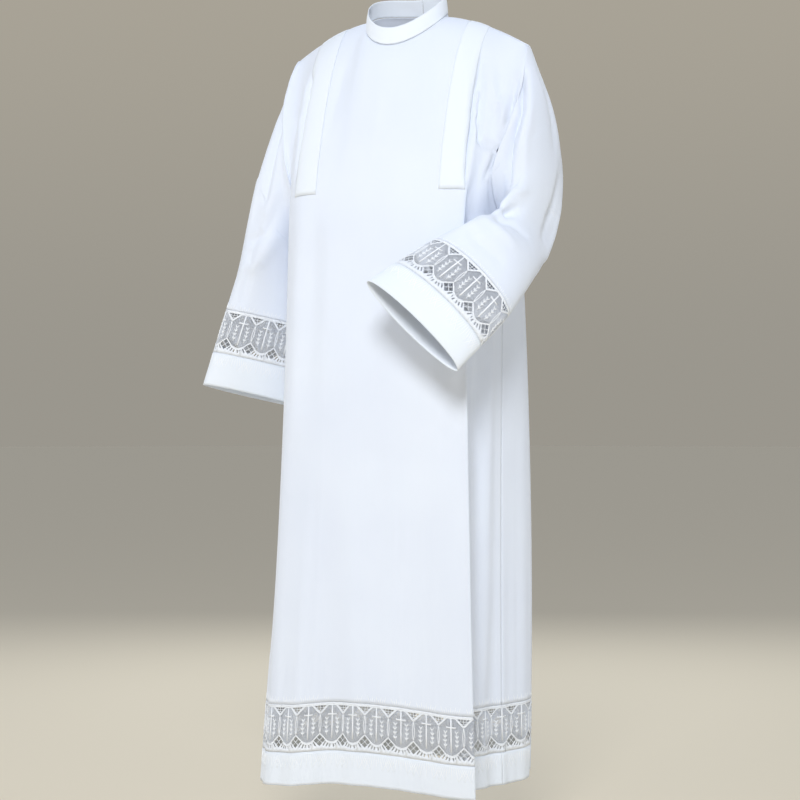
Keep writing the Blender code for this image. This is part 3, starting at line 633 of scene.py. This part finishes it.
def addTone(tree, shader, source, color, deep, ends):
    # the colour changes from deep to full along the source
    ramp = addNode(tree, "ValToRGB", Fac=source)
    for stop, place, shade in zip(ramp.color_ramp.elements, ends, (deep, color)):
        stop.position = place
        stop.color = shade
    tree.links.new(ramp.outputs["Color"], shader.inputs["Base Color"])


def clothMaterial(name):
    # woven cloth: two crossed thread waves, a soft crumple and a slight change of tone
    c = clothSet
    color, deep, rough, sheen, thread, crumple = c[name]
    mat, shader = newMaterial(name, color, rough, sheen)
    tree = mat.node_tree
    coords = addNode(tree, "TexCoord").outputs
    weave = addNode(tree, "Math")
    for i, axis in enumerate("XY"):
        wave = addNode(tree, "TexWave", c["wave"], Vector=coords["UV"])
        wave.inputs["Scale"].default_value = c["waveScale"] / thread
        wave.wave_type = "BANDS"
        wave.bands_direction = axis
        tree.links.new(wave.outputs["Fac"], weave.inputs[i])
    fine = addNode(tree, "Bump", c["weaveBump"], Height=weave.outputs[0])
    stretch = addNode(tree, "Mapping", {"Scale": c["stretch"]}, Vector=coords["Object"])
    soft = addNode(tree, "TexNoise", c["crumple"], Vector=stretch.outputs["Vector"])
    bump = addNode(tree, "Bump", {"Strength": 0.5, "Distance": crumple},
                   Height=soft.outputs["Fac"], Normal=fine.outputs["Normal"])
    tree.links.new(bump.outputs["Normal"], shader.inputs["Normal"])
    tone = addNode(tree, "TexNoise", c["tone"], Vector=coords["Object"])
    addTone(tree, shader, tone.outputs["Fac"], color, deep, c["toneEnds"])
    return mat


def satinMaterial(name):
    # embroidery: fine ribs across the thread and a soft gloss
    color, deep, rough = satinSet[name]
    mat, shader = newMaterial(name, color, rough, satinSet["sheen"])
    tree = mat.node_tree
    coords = addNode(tree, "TexCoord").outputs
    ribs = addNode(tree, "TexNoise", satinSet["ribs"], Vector=coords["Object"])
    bump = addNode(tree, "Bump", satinSet["bump"], Height=ribs.outputs["Fac"])
    tree.links.new(bump.outputs["Normal"], shader.inputs["Normal"])
    addTone(tree, shader, ribs.outputs["Fac"], color, deep, (0.0, 1.0))
    return mat


robeCloth, bandCloth, laceGround = [clothMaterial(n) for n in ("robeCloth", "bandCloth", "laceGround")]
# the net thread's grey colour is painted shade, for the dark seen through the net
laceThread, netThreadPaintedShade, sewThread = [satinMaterial(n) for n in ("laceThread", "netThreadPaintedShade", "sewThread")]
print("finishes made")


# Camera and stage

def makeCamera():
    c = cameraSet
    a = math.radians(c["azimuth"])
    eye = Vector((math.sin(a), -math.cos(a), 0.0)) * c["distance"]
    eye += Vector((math.cos(a), math.sin(a), 0.0)) * c["sideStep"]
    eye.z = c["eyeHeight"]
    data = bpy.data.cameras.new("photoCamera")
    data.lens = c["lens"]
    data.sensor_width = c["sensor"]
    data.clip_start = 0.05
    data.clip_end = 60.0
    cam = bpy.data.objects.new("photoCamera", data)
    cam.location = eye
    cam.rotation_euler = (math.radians(90.0), 0.0, a)
    bpy.context.scene.collection.objects.link(cam)
    bpy.context.scene.camera = cam


def makeWorld():
    # the room's colour changes with height alone, which is brought from -1..1 to 0..1
    s = stageSet
    world = bpy.data.worlds.new("studio")
    world.use_nodes = True
    tree = world.node_tree
    coords = addNode(tree, "TexCoord").outputs
    parts = addNode(tree, "SeparateXYZ", Vector=coords["Generated"])
    lift = addNode(tree, "Math")
    lift.operation = "MULTIPLY_ADD"
    lift.inputs[1].default_value = 0.5
    lift.inputs[2].default_value = 0.5
    tree.links.new(parts.outputs["Z"], lift.inputs[0])
    ramp = addNode(tree, "ValToRGB", Fac=lift.outputs[0])
    ramp.color_ramp.interpolation = "EASE"
    stops = ramp.color_ramp.elements
    while len(stops) < len(s["roomColors"]):
        stops.new(0.9)
    for stop, (place, color) in zip(stops, s["roomColors"]):
        stop.position = place
        stop.color = color
    tree.links.new(ramp.outputs["Color"], tree.nodes["Background"].inputs["Color"])
    bpy.context.scene.world = world


def makeStage():
    s = stageSet
    mat, shader = newMaterial("stagePaper", s["floorColor"], 0.9, 0.0)
    turns = np.arange(s["floorSides"]) * 2 * math.pi / s["floorSides"]
    rim = [(s["floorRadius"] * math.cos(a), s["floorRadius"] * math.sin(a), s["floorZ"]) for a in turns]
    meshFrom("stageFloor", rim, [tuple(range(len(rim)))], mat)
    for name, azimuth, height, distance, size, power, color in s["lights"]:
        a = math.radians(azimuth)
        data = bpy.data.lights.new(name, "AREA")
        data.shape = "DISK"
        data.size = size
        data.energy = power
        data.color = color
        lamp = bpy.data.objects.new(name, data)
        lamp.location = (math.sin(a) * distance, -math.cos(a) * distance, s["floorZ"] + height)
        aim = Vector((0, 0, s["aimZ"])) - lamp.location
        lamp.rotation_euler = aim.to_track_quat("-Z", "Y").to_euler()
        bpy.context.scene.collection.objects.link(lamp)
    view = bpy.context.scene.view_settings
    view.view_transform = "Standard"
    view.look = "None"
    view.exposure = 0.0


makeCamera()
makeWorld()
makeStage()
print("camera and stage made")


# Body panels, bands and collar

def spread(places, sizes, step):
    # more places between the given ones, so that no stretch is longer than the step
    made = []
    for a, b, size in zip(places, places[1:], sizes):
        cuts = max(1, int(math.ceil(size / step)))
        made += list(a + (b - a) * np.arange(cuts) / cuts)
    return np.array(made + [places[-1]])


def panelColumns(first, last):
    stops = np.arange(first, last + 1).astype(float)
    atHem = bodyPoint(stops, bodySet["hemZ"] + bodySet["bandTop"])
    size = np.linalg.norm(np.diff(atHem, axis=0), axis=1) * bodySet["foldSpare"]
    return spread(stops, size, bodySet["columnLength"])


def makePanel(name, node, first, last, front, creases):
    cols = panelColumns(first, last)
    rows = spread(np.array([0.0, 1.0, 2.0]), bodySet["panelHeights"], bodySet["rowLength"])
    tt, qq = np.meshgrid(cols, rows)
    points = panelPoint(tt, qq, front)
    fade = smoothStep((bodySet["evenEnd"] - rows) / bodySet["evenFade"])
    share = bodySet["evenShare"] * fade * smoothStep(rows / bodySet["evenStart"])
    for _ in range(bodySet["evenPasses"]):
        bend = points[:, :-2] + points[:, 2:] - 2 * points[:, 1:-1]
        points[:, 1:-1] += bend * share[:, None, None]
    points = creased(points, gridNormals(points, False), creases)
    normals = gridNormals(points, False)
    every = slice(None)
    for edge, beside in (((every, 0), (every, 1)), ((every, -1), (every, -2)), ((0,), (1,)), ((-1,), (-2,))):
        points[edge] += unit(points[beside] - points[edge]) * bodySet["seamGap"] / 2
        if edge[0] != -1:
            points[edge] -= normals[edge] * bodySet["seamTuck"]
    clothPiece(name, node, points, normals, robeCloth, bodySet["clothThick"])
    return points, normals, cols


frontSpan = (rightSeam - guideCount, leftSeam)
backSpan = (leftSeam, rightSeam)
frontGrid = makePanel("frontPanelCloth", "front_panel", *frontSpan, True, frontCreases)
backGrid = makePanel("backPanelCloth", "back_panel", *backSpan, False, backCreases)


bandSet = {
    "lift": 0.0002,
    "thick": 0.0007,
    "crown": 0.0008,     # the pressed band stands a little prouder along its middle
    "stitchIn": 0.0035,
    "footZ": -0.333,
    "flapSpan": (centreBack - 0.25, centreBack + 0.25),
    "flapFootZ": -0.20,
    "flapTopRow": 6,
}


def makeBand(name, node, grid, span, footZ, topRow=0):
    # a strip of the panel's own grid, lifted off it
    points, normals, cols = grid
    picked = np.where((cols >= span[0] - 1e-6) & (cols <= span[1] + 1e-6))[0]
    foot = int(np.argmax(points[:, picked[len(picked) // 2], 2] < footZ))
    sheet = points[topRow:foot + 1, picked]
    out = normals[topRow:foot + 1, picked]
    crown = bandSet["crown"] * (1 - np.linspace(-1, 1, len(picked)) ** 2)
    lifted = sheet + out * (bandSet["lift"] + bandSet["thick"] + crown)[None, :, None]
    clothPiece(name, node, lifted, out, bandCloth, bandSet["thick"], sheet)
    return lifted, out


bandGrids = [
    makeBand("frontBandLeftCloth", "front_band_left", frontGrid, leftBand, bandSet["footZ"]),
    makeBand("frontBandRightCloth", "front_band_right", frontGrid, rightBand, bandSet["footZ"]),
    makeBand("backFlapCloth", "back_flap", backGrid, bandSet["flapSpan"], bandSet["flapFootZ"],
             bandSet["flapTopRow"]),
]
print("bands made")

collarSet = {
    "steps": 220,
    "rows": 12,
    "thick": 0.0013,
    "wave": 0.0008,
    "turnEnd": 0.9985,        # the ends of the strip stop just short of the centre back
    "lift": 0.0004,
    "stitchIn": 0.0030,
}


def makeCollar():
    c = collarSet
    turn = np.linspace(-c["turnEnd"], c["turnEnd"], c["steps"])
    tt, hh = np.meshgrid(turn, np.linspace(0.0, 1.0, c["rows"]))
    base = neckPoint(np.abs(tt), np.where(tt >= 0, 1.0, -1.0))
    out = unit(base * (1, 1, 0))
    ripple = 1 + 0.5 * np.sin(7 * tt) + 0.4 * np.sin(13 * tt + 1)
    bulge = c["wave"] * np.sin(math.pi * hh) * ripple
    points = base + out * (bulge - bodySet["collarLean"] * hh)[..., None]
    points[..., 2] += bodySet["collarHeight"] * hh + c["lift"]
    normals = gridNormals(points, False)
    clothPiece("collarCloth", "collar", points, normals, bandCloth, c["thick"])
    return points, normals


collarGrid = makeCollar()
print("collar made")


# Sleeves

sleeveSet = {
    "sides": 132,
    "rowLength": 0.0045,
    "leastLength": 0.05,
    "seamShare": 0.05,        # an end row stops short of its seam by this share of a row
    "cuffRows": 14,
}
sleeveAngles = np.arange(sleeveSet["sides"]) * 360.0 / sleeveSet["sides"]


def makeSleeve(name, node, rings, folds, side, creases):
    stops = np.arange(len(rings)).astype(float)
    ringPoints = sleevePoint(rings, (), side, stops, 0.0)
    lengths = np.maximum(np.linalg.norm(np.diff(ringPoints, axis=0), axis=1), sleeveSet["leastLength"])
    rows = spread(stops, lengths, sleeveSet["rowLength"])
    ss, aa = np.meshgrid(rows, sleeveAngles, indexing="ij")
    points = sleevePoint(rings, folds, side, ss, aa)
    points = creased(points, gridNormals(points, True, -side), creases)
    normals = gridNormals(points, True, -side)
    points[0] += (points[1] - points[0]) * sleeveSet["seamShare"]
    points[-1] += (points[-2] - points[-1]) * sleeveSet["seamShare"]
    clothPiece(name, node, points, normals, robeCloth, bodySet["clothThick"], tubeSide=side)
    return points, normals


sleeveGrids = [
    makeSleeve("sleeveLeftCloth", "sleeve_left", leftRings, leftSleeveFolds, 1, leftSleeveCreases),
    makeSleeve("sleeveRightCloth", "sleeve_right", rightRings, rightSleeveFolds, -1, rightSleeveCreases),
]


# Lace. Its parts are drawn flat, in metres along the band, down it and out of it,
# and then laid on the robe by a map.

class FlatParts:
    def __init__(self):
        self.points = []
        self.faces = []

    def add(self, points, faces):
        base = len(self.points)
        self.points += [tuple(p) for p in points]
        self.faces += [tuple(i + base for i in f) for f in faces]

    def sweep(self, path, half, section, taper=False):
        # a closed bar along the path, its section given by places across it and heights
        count, sides = len(path), len(section)
        points = []
        for i, (u, v) in enumerate(path):
            a = path[max(i - 1, 0)]
            b = path[min(i + 1, count - 1)]
            du, dv = b[0] - a[0], b[1] - a[1]
            size = math.hypot(du, dv) or 1e-9
            w = half
            if taper:
                w = half * max(0.15, math.sin(math.pi * (i + 0.35) / (count - 0.3)))
            points += [(u - dv / size * w * f, v + du / size * w * f, high) for f, high in section]
        faces = []
        for i in range(count - 1):
            for j in range(sides):
                k = (j + 1) % sides
                faces.append((i * sides + j, i * sides + k, (i + 1) * sides + k, (i + 1) * sides + j))
        end = (count - 1) * sides
        faces.append(tuple(range(sides - 1, -1, -1)))
        faces.append(tuple(range(end, end + sides)))
        self.add(points, faces)

    def ridge(self, path, half, top, taper=False):
        # a satin line, flat at its foot
        foot = laceSet["satinFoot"]
        self.sweep(path, half, ((1, foot), (0.5, top), (-0.5, top), (-1, foot)), taper)


def fieldTop(u):
    # upper edge of the net, from the pointed top of a medallion to the triangle's foot
    du = abs((u % laceSet["repeat"]) - laceSet["repeat"] / 2)
    slope = (laceSet["triangleFoot"] - laceSet["triangleTop"]) / laceSet["triangleHalf"]
    return max(laceSet["fieldTop"], laceSet["fieldShoulder"] - du * slope)


def fieldFoot(u):
    # lower edge of the net, over the diamonds and round the feet of the medallions
    half = laceSet["repeat"] / 2
    du = abs((u % laceSet["repeat"]) - half)
    slope = laceSet["diamondHalfHeight"] / laceSet["diamondHalfWidth"]
    tip = laceSet["diamondCentre"] - laceSet["diamondHalfHeight"] - laceSet["tipGap"]
    corner = laceSet["tipCorner"]
    if du < corner:
        return tip + du * slope
    f = (half - du) / (half - corner)
    edge = tip + corner * slope
    return laceSet["fieldFoot"] - (laceSet["fieldFoot"] - edge) * f ** 2


def cutFaces(outline, gaps):
    # triangles of a flat piece with gaps, points in metres
    points = list(outline)
    edges = [(i, (i + 1) % len(outline)) for i in range(len(outline))]
    for gap in gaps:
        base = len(points)
        points += gap
        edges += [(base + i, base + (i + 1) % len(gap)) for i in range(len(gap))]
    scaled = [Vector((x * 1000, v * 1000)) for x, v in points]
    made, _, faces, _, _, _ = delaunay_2d_cdt(scaled, edges, [], 0, 1e-6)
    kept = []
    for face in faces:
        mid = sum((made[i] for i in face), Vector((0.0, 0.0))) / len(face) / 1000
        if inside(mid, outline) and not any(inside(mid, gap) for gap in gaps):
            kept.append(tuple(face))
    return [(p.x / 1000, p.y / 1000) for p in made], kept


def inside(point, polygon):
    hit = False
    for (x0, y0), (x1, y1) in zip(polygon, polygon[1:] + polygon[:1]):
        if (y0 > point[1]) != (y1 > point[1]):
            if point[0] < x0 + (x1 - x0) * (point[1] - y0) / (y1 - y0):
                hit = not hit
    return hit


def mm(*pairs):
    return [(x / 1000, y / 1000) for x, y in pairs]


def triangleGaps():
    # gaps that thin bars leave in the triangle, about its axis, mm
    centre = laceSet["repeat"] / 2
    outer = [(-11.9, 5.7), (-6.3, 5.7), (-6.3, 9.4), (-8.1, 9.4)]
    inner = [(-5.4, 5.7), (-0.5, 5.7), (-0.5, 9.4), (-5.4, 9.4)]
    low = [(-7.1, 10.3), (-0.5, 10.3), (-0.5, 13.4), (-3.9, 13.4)]
    tip = [(-2.8, 14.3), (2.8, 14.3), (0.0, 17.0)]
    shapes = [tip]
    for shape in (outer, inner, low):
        shapes += [shape, [(-x, y) for x, y in reversed(shape)]]
    return [[(centre + x / 1000, y / 1000) for x, y in shape] for shape in shapes]


def diamondGaps():
    centre = laceSet["repeat"] / 2
    w, h, bar = laceSet["diamondHalfWidth"], laceSet["diamondHalfHeight"], laceSet["diamondBar"]
    gaps = []
    for dx, dy in ((0, -1), (1, 0), (0, 1), (-1, 0)):
        cx, cy = centre + dx * (w / 2 + bar / 3), laceSet["diamondCentre"] + dy * (h / 2 + bar / 3)
        a, b = w / 2 - bar / 2, h / 2 - bar / 2
        gaps.append([(cx - a, cy), (cx, cy + b), (cx + a, cy), (cx, cy - b)])
    return gaps


slotSet = {
    "half": 0.0012,
    "cutAt": 0.0090,          # a repeat of the lower strip begins here, between slots
    # start and end, from the axis of a medallion and down, mm
    "runs": (
        ((3.2, 76.0), (4.6, 81.5)),
        ((7.6, 74.6), (11.0, 80.8)),
        ((12.2, 71.8), (17.4, 79.0)),
    ),
}


def slotGap(axis, run, mirror):
    (x0, y0), (x1, y1) = run
    x0, x1 = x0 * mirror / 1000 + axis, x1 * mirror / 1000 + axis
    y0, y1 = y0 / 1000, y1 / 1000
    size = math.hypot(x1 - x0, y1 - y0)
    nx, ny = -(y1 - y0) / size * slotSet["half"], (x1 - x0) / size * slotSet["half"]
    return [(x0 + nx, y0 + ny), (x1 + nx, y1 + ny), (x1 - nx, y1 - ny), (x0 - nx, y0 - ny)]


def across(start, steps, edge):
    # points on an edge of the lace, over one repeat from the start
    wide = laceSet["repeat"]
    return [(start + wide * i / steps, edge(start + wide * i / steps)) for i in range(steps + 1)]


def laceGroundFlat():
    # the two plain strips of one repeat: over the net with the triangle, and under it
    wide = laceSet["repeat"]
    start = slotSet["cutAt"]
    top = across(0.0, 8, lambda u: 0.0)
    top += across(0.0, 16, lambda u: fieldTop(min(max(u, 1e-6), wide - 1e-6)))[::-1]
    low = across(start, 24, fieldFoot) + across(start, 8, lambda u: laceSet["height"])[::-1]
    slots = []
    for run in slotSet["runs"]:
        beside = 0.0 if run[0][0] / 1000 > start else wide
        slots += [slotGap(beside, run, 1), slotGap(wide, run, -1)]
    return cutFaces(top, triangleGaps()), cutFaces(low, diamondGaps() + slots)


ornamentSet = {
    "edgeLine": (0.0022, 0.0007),                 # down from the upper edge, half width
    "sides": (0.0019, 0.0212, 0.0560),            # how far they part, first and last height
    "ends": ((-8.5, 22, 0, 1), (8.5, 22, 0, 1), (0, 6, 1, 0)),
    "stem": (0.0105, 0.0012, 0.0600, 0.0300),     # from the axis, bend, foot and length
    "leafTurns": (-34, 34),
    "leafLength": 0.0064,
    "rays": 6,                                    # on either side of the middle one
    "raysOver": 4,
    "rayLean": 0.09,
    # start, and the length of every second ray and of the others
    "rayUnder": (0.0895, 0.026, 0.016),
    "rayOver": (-0.0030, -0.012, -0.007),
    "rayDrop": 0.0006,                            # each ray under starts lower than the last
}


def stemPlace(f):
    side, bend, foot, length = ornamentSet["stem"]
    return side + bend * math.sin(math.pi * f), foot - length * f


def drawSprays(parts, high):
    # an upright spray of leaves on either side of the cross
    for sign in (-1, 1):
        stem = [stemPlace(f) for f in np.linspace(0, 1, 7)]
        parts.ridge([(sign * x, y) for x, y in stem], 0.0008, high * 0.9)
        for f in np.linspace(0.12, 0.92, 4):
            x, y = stemPlace(f)
            for turn in ornamentSet["leafTurns"]:
                a = math.radians(-90 + turn)
                run = np.linspace(0, ornamentSet["leafLength"], 5)
                leaf = [(sign * (x + math.cos(a) * g), y + math.sin(a) * g) for g in run]
                parts.ridge(leaf, 0.0013, high, taper=True)


def drawRays(parts, high):
    # embroidered rays, tone on tone, under the lace and over the medallions
    c = ornamentSet
    for i in range(-c["rays"], c["rays"] + 1):
        x, lean = i * laceSet["repeat"] / (2 * c["rays"] + 1), i * c["rayLean"]
        rays = [(c["rayUnder"][0] + c["rayDrop"] * abs(i), c["rayUnder"][1 + i % 2])]
        if abs(i) <= c["raysOver"]:
            rays.append((c["rayOver"][0], c["rayOver"][1 + i % 2]))
        for begin, length in rays:
            ray = [(x + lean * abs(length) * f, begin + length * f) for f in np.linspace(0, 1, 5)]
            parts.ridge(ray, 0.0007, high * 0.5, taper=True)


def laceSatinFlat():
    # raised satin lines of one repeat, its medallion on the axis 0
    parts = FlatParts()
    half = laceSet["repeat"] / 2
    w, high = laceSet["satinHalf"], laceSet["satinHigh"]
    parts.ridge(across(-half, 18, lambda u: fieldTop(u + 1e-7)), w, high)
    parts.ridge(across(-half, 24, lambda u: fieldFoot(u + 1e-7)), w, high)
    down, thin = ornamentSet["edgeLine"]
    parts.ridge(across(-half, 8, lambda u: down), thin, high * 0.8)
    # the sides of neighbouring medallions part and meet again
    part, begin, end = ornamentSet["sides"]
    for sign in (-1, 1):
        run = [i / 8 for i in range(9)]
        side = [(half + sign * part * math.sin(math.pi * f), begin + (end - begin) * f) for f in run]
        parts.ridge(side, w, high)
    # a plain cross with short ends
    parts.ridge(mm((0, 6), (0, 22), (0, 44), (0, 66)), 0.0016, high * 1.25)
    parts.ridge(mm((-8.5, 22), (0, 22), (8.5, 22)), 0.0015, high * 1.2)
    for x, y, dx, dy in ornamentSet["ends"]:
        parts.ridge(mm((x - 2.0 * dx, y - 2.0 * dy), (x + 2.0 * dx, y + 2.0 * dy)), 0.0009, high)
    drawSprays(parts, high)
    drawRays(parts, high)
    return parts


def netFlat():
    # threads of one repeat, both ways, kept where they cross the net
    parts = FlatParts()
    pitch, slope = laceSet["repeat"] / laceSet["netThreads"], laceSet["netSlope"]
    step, over = laceSet["netStep"], laceSet["netOver"]
    top, foot = laceSet["fieldTop"], laceSet["fieldFoot"]
    for way in (1, -1):
        for i in range(laceSet["netThreads"]):
            start = (i + 0.25) * pitch
            run = []
            for v in np.arange(top, foot + 2 * step, step):
                u = start + way * (v - top) / slope
                if fieldTop(u) - over <= v <= fieldFoot(u) + over:
                    run.append((u, v))
                elif run:
                    closeRun(parts, run, way)
                    run = []
            if run:
                closeRun(parts, run, way)
    return parts


def closeRun(parts, run, way):
    if len(run) < 3:
        return
    keep = run[::laceSet["netKeep"]]
    if keep[-1] != run[-1]:
        keep.append(run[-1])
    lift = 0.0 if way > 0 else laceSet["netLift"]
    foot = laceSet["netFoot"] + lift
    parts.sweep(keep, laceSet["netHalf"], ((1, foot), (0, laceSet["netTop"] + lift), (-1, foot)))


def tiled(parts, repeats):
    # the flat parts once for each repeat along the band
    points = np.array(parts.points)
    count = len(points)
    many = np.concatenate([points + (k * laceSet["repeat"], 0, 0) for k in range(repeats)])
    return many, [tuple(i + k * count for i in f) for k in range(repeats) for f in parts.faces]


class BandMap:
    # lays flat lace coordinates on the robe
    def __init__(self, surface, normal, first, last, repeats):
        self.surface, self.normal, self.repeats = surface, normal, repeats
        self.ticks = np.linspace(first, last, 3000)
        self.run = runAlong(surface(self.ticks, np.full(self.ticks.shape, laceSet["height"] / 2)))
        self.scale = self.run[-1] / (repeats * laceSet["repeat"])

    def at(self, points):
        points = np.asarray(points)
        run, ticks = self.run, self.ticks
        length = points[:, 0] * self.scale
        t = np.interp(length, run, ticks)
        first = (ticks[1] - ticks[0]) / (run[1] - run[0])
        last = (ticks[-1] - ticks[-2]) / (run[-1] - run[-2])
        t = np.where(length < 0, ticks[0] + length * first, t)
        t = np.where(length > run[-1], ticks[-1] + (length - run[-1]) * last, t)
        base = self.surface(t, points[:, 1])
        return base + self.normal(t, points[:, 1]) * points[:, 2:3]


def hemSurface(t, depth):
    return bodyPoint(t, laceTop(t) - depth)


def hemNormal(t, depth):
    z = laceTop(t) - depth
    along = bodyPoint(t + 0.004, z) - bodyPoint(t - 0.004, z)
    return unit(np.stack([along[:, 1], -along[:, 0], np.zeros(len(along))], axis=-1))


def cuffMaps(rings, side):
    length = np.linalg.norm(rings[-1][0] - rings[-2][0])

    def surface(angle, depth):
        return sleevePoint(rings, (), side, len(rings) - 1 + depth / length, angle)

    def normal(angle, depth):
        sideways = surface(angle + 0.5, depth) - surface(angle - 0.5, depth)
        down = surface(angle, depth + 0.001) - surface(angle, depth - 0.001)
        return unit(np.cross(sideways, down) * side)

    return surface, normal, length


def laceGroundPiece(name, node, band):
    strips = laceGroundFlat()
    points, faces = [], []
    shared = {}
    for k in range(band.repeats):
        for flat, tris in strips:
            index = []
            for u, v in flat:
                x = u + k * laceSet["repeat"]
                mark = (round(x * 1e6), round(v * 1e6))
                if mark not in shared:
                    shared[mark] = len(points)
                    points.append((x, v, 0.0))
                index.append(shared[mark])
            faces += [tuple(index[i] for i in tri) for tri in tris]
    points = np.array(points)
    points[:, 1] = np.clip(points[:, 1], 0.0002, laceSet["height"] - 0.0002)
    outer = band.at(points)
    normals = (band.at(points + (0, 0, 0.001)) - outer) / 0.001
    a, b, c = (outer[i] for i in faces[0])
    if np.dot(np.cross(b - a, c - a), normals[faces[0][0]]) < 0:
        faces = [tuple(reversed(f)) for f in faces]
    piece = shell(name, outer, normals, faces, laceGround, laceSet["thick"], points[:, :2])
    rest(piece, node)
    return piece


def laceLinesPiece(name, parts, band, mat):
    points, faces = tiled(parts, band.repeats)
    piece = meshFrom(name, band.at(points), faces, mat, points[:, :2])
    flipOutward(piece)
    rest(piece, None)
    return piece


def flipOutward(piece):
    work = bmesh.new()
    work.from_mesh(piece.data)
    bmesh.ops.recalc_face_normals(work, faces=work.faces)
    work.to_mesh(piece.data)
    work.free()


def makeLace(name, node, band):
    ground = laceGroundPiece(name + "Ground", node, band)
    satin = laceLinesPiece(name + "Satin", satinParts, band, laceThread)
    net = laceLinesPiece(name + "Net", netParts, band, netThreadPaintedShade)
    print(name, band.repeats, [len(piece.data.polygons) for piece in (ground, satin, net)])
    return ground, satin, net


satinParts = laceSatinFlat()
netParts = netFlat()
for half, span in (("Front", frontSpan), ("Back", backSpan)):
    band = BandMap(hemSurface, hemNormal, *span, laceSet["hemRepeats"][half])
    makeLace("hemLace" + half, "hem_lace_" + half.lower(), band)
for word, rings, side in (("Left", leftRings, 1), ("Right", rightRings, -1)):
    surface, normal, _ = cuffMaps(rings, side)
    for part, first in (("Outer", -90.0), ("Inner", 90.0)):
        band = BandMap(surface, normal, first, first + 180.0, laceSet["cuffRepeats"] // 2)
        node = "cuff_lace_" + word.lower() + "_" + part.lower()
        makeLace("cuffLace" + word + part, node, band)


# Plain bands under the lace

edgeSet = {
    "rows": 12,
    "stitchBelow": 0.0025,    # stitching from a sewn edge
    "stitchAbove": 0.0100,    # from the hem's lower edge
    "cuffStitch": 0.0080,
}


def makeHemBand(half, span):
    depth = laceSet["height"] + np.linspace(bodySet["seamGap"], laceSet["bandHeight"], edgeSet["rows"])
    tt, dd = np.meshgrid(panelColumns(*span), depth)
    points = bodyPoint(tt, laceTop(tt) - dd)
    normals = gridNormals(points, False)
    clothPiece("hemBand" + half + "Cloth", "hem_band_" + half.lower(),
               points, normals, bandCloth, bodySet["clothThick"])
    return points, normals


def makeCuffBand(word, rings, side):
    surface, _, length = cuffMaps(rings, side)
    depth = np.linspace(laceSet["height"] + bodySet["seamGap"], length, sleeveSet["cuffRows"])
    dd, aa = np.meshgrid(depth, sleeveAngles, indexing="ij")
    points = surface(aa, dd)
    normals = gridNormals(points, True, -side)
    clothPiece("cuffBand" + word + "Cloth", "cuff_band_" + word.lower(),
               points, normals, bandCloth, bodySet["clothThick"], tubeSide=side)
    return points, normals


hemGrids = [makeHemBand("Front", frontSpan), makeHemBand("Back", backSpan)]
cuffGrids = [makeCuffBand("Left", leftRings, 1), makeCuffBand("Right", rightRings, -1)]
print("hem and cuff bands made")


# Sewing

def lineIn(points, normals, distance, fromLast=False):
    # a line on gridded cloth, at a distance from its first or last column
    if fromLast:
        points, normals = points[:, ::-1], normals[:, ::-1]
    line, out = [], []
    for row, rowOut in zip(points, normals):
        run = runAlong(row)
        line.append(placeAlong(distance, run, row))
        out.append(placeAlong(distance, run, rowOut))
    return np.array(line), np.array(out)


def lineDown(points, normals, distance, fromLast=False, ring=False):
    # the same from the first or last row, closed where the cloth is a tube
    line, out = lineIn(points.swapaxes(0, 1), normals.swapaxes(0, 1), distance, fromLast)
    if ring:
        line, out = np.vstack([line, line[:1]]), np.vstack([out, out[:1]])
    return line, out


def makeStitches(name, lines):
    # each stitch is a small lens that lies in the cloth
    s = stitchSet
    points, faces = [], []
    shape = ((0, 3, 4), (0, 4, 2), (0, 2, 5), (0, 5, 3), (1, 4, 3), (1, 2, 4), (1, 5, 2), (1, 3, 5))
    for line, out in lines:
        run = runAlong(line)
        starts = np.arange(0.5 * s["pitch"], run[-1] - s["length"], s["pitch"])
        first = placeAlong(starts, run, line)
        last = placeAlong(starts + s["length"], run, line)
        up = unit(placeAlong(starts + s["length"] / 2, run, out))
        side = unit(np.cross(up, last - first)) * s["half"]
        up = up * s["high"]
        mid = (first + last) / 2
        corners = np.stack([first, last, mid + side, mid - side, mid + up, mid - up], axis=1)
        for k in range(len(starts)):
            faces += [tuple(len(points) + 6 * k + i for i in face) for face in shape]
        points += corners.reshape(-1, 3).tolist()
    piece = meshFrom(name, points, faces, sewThread)
    flipOutward(piece)
    rest(piece, None)
    print(name, len(faces))


bandLines = []
for grid in bandGrids:
    inset = bandSet["stitchIn"]
    bandLines += [lineIn(*grid, inset), lineIn(*grid, inset, True), lineDown(*grid, inset, True)]
makeStitches("bandStitches", bandLines)
inset = collarSet["stitchIn"]
makeStitches("collarStitches", [lineDown(*collarGrid, inset), lineDown(*collarGrid, inset, True)])
below = edgeSet["stitchBelow"]
hemLines = []
for grid in hemGrids:
    hemLines += [lineDown(*grid, below), lineDown(*grid, edgeSet["stitchAbove"], True)]
hemLines += [lineDown(*grid[:2], below, True) for grid in (frontGrid, backGrid)]
makeStitches("hemStitches", hemLines)
cuffLines = []
for grid in cuffGrids:
    cuffLines += [lineDown(*grid, below, False, True), lineDown(*grid, edgeSet["cuffStitch"], True, True)]
cuffLines += [lineDown(*grid, below, True, True) for grid in sleeveGrids]
makeStitches("cuffStitches", cuffLines)
print("sewing made")


# Last

print("scene made")
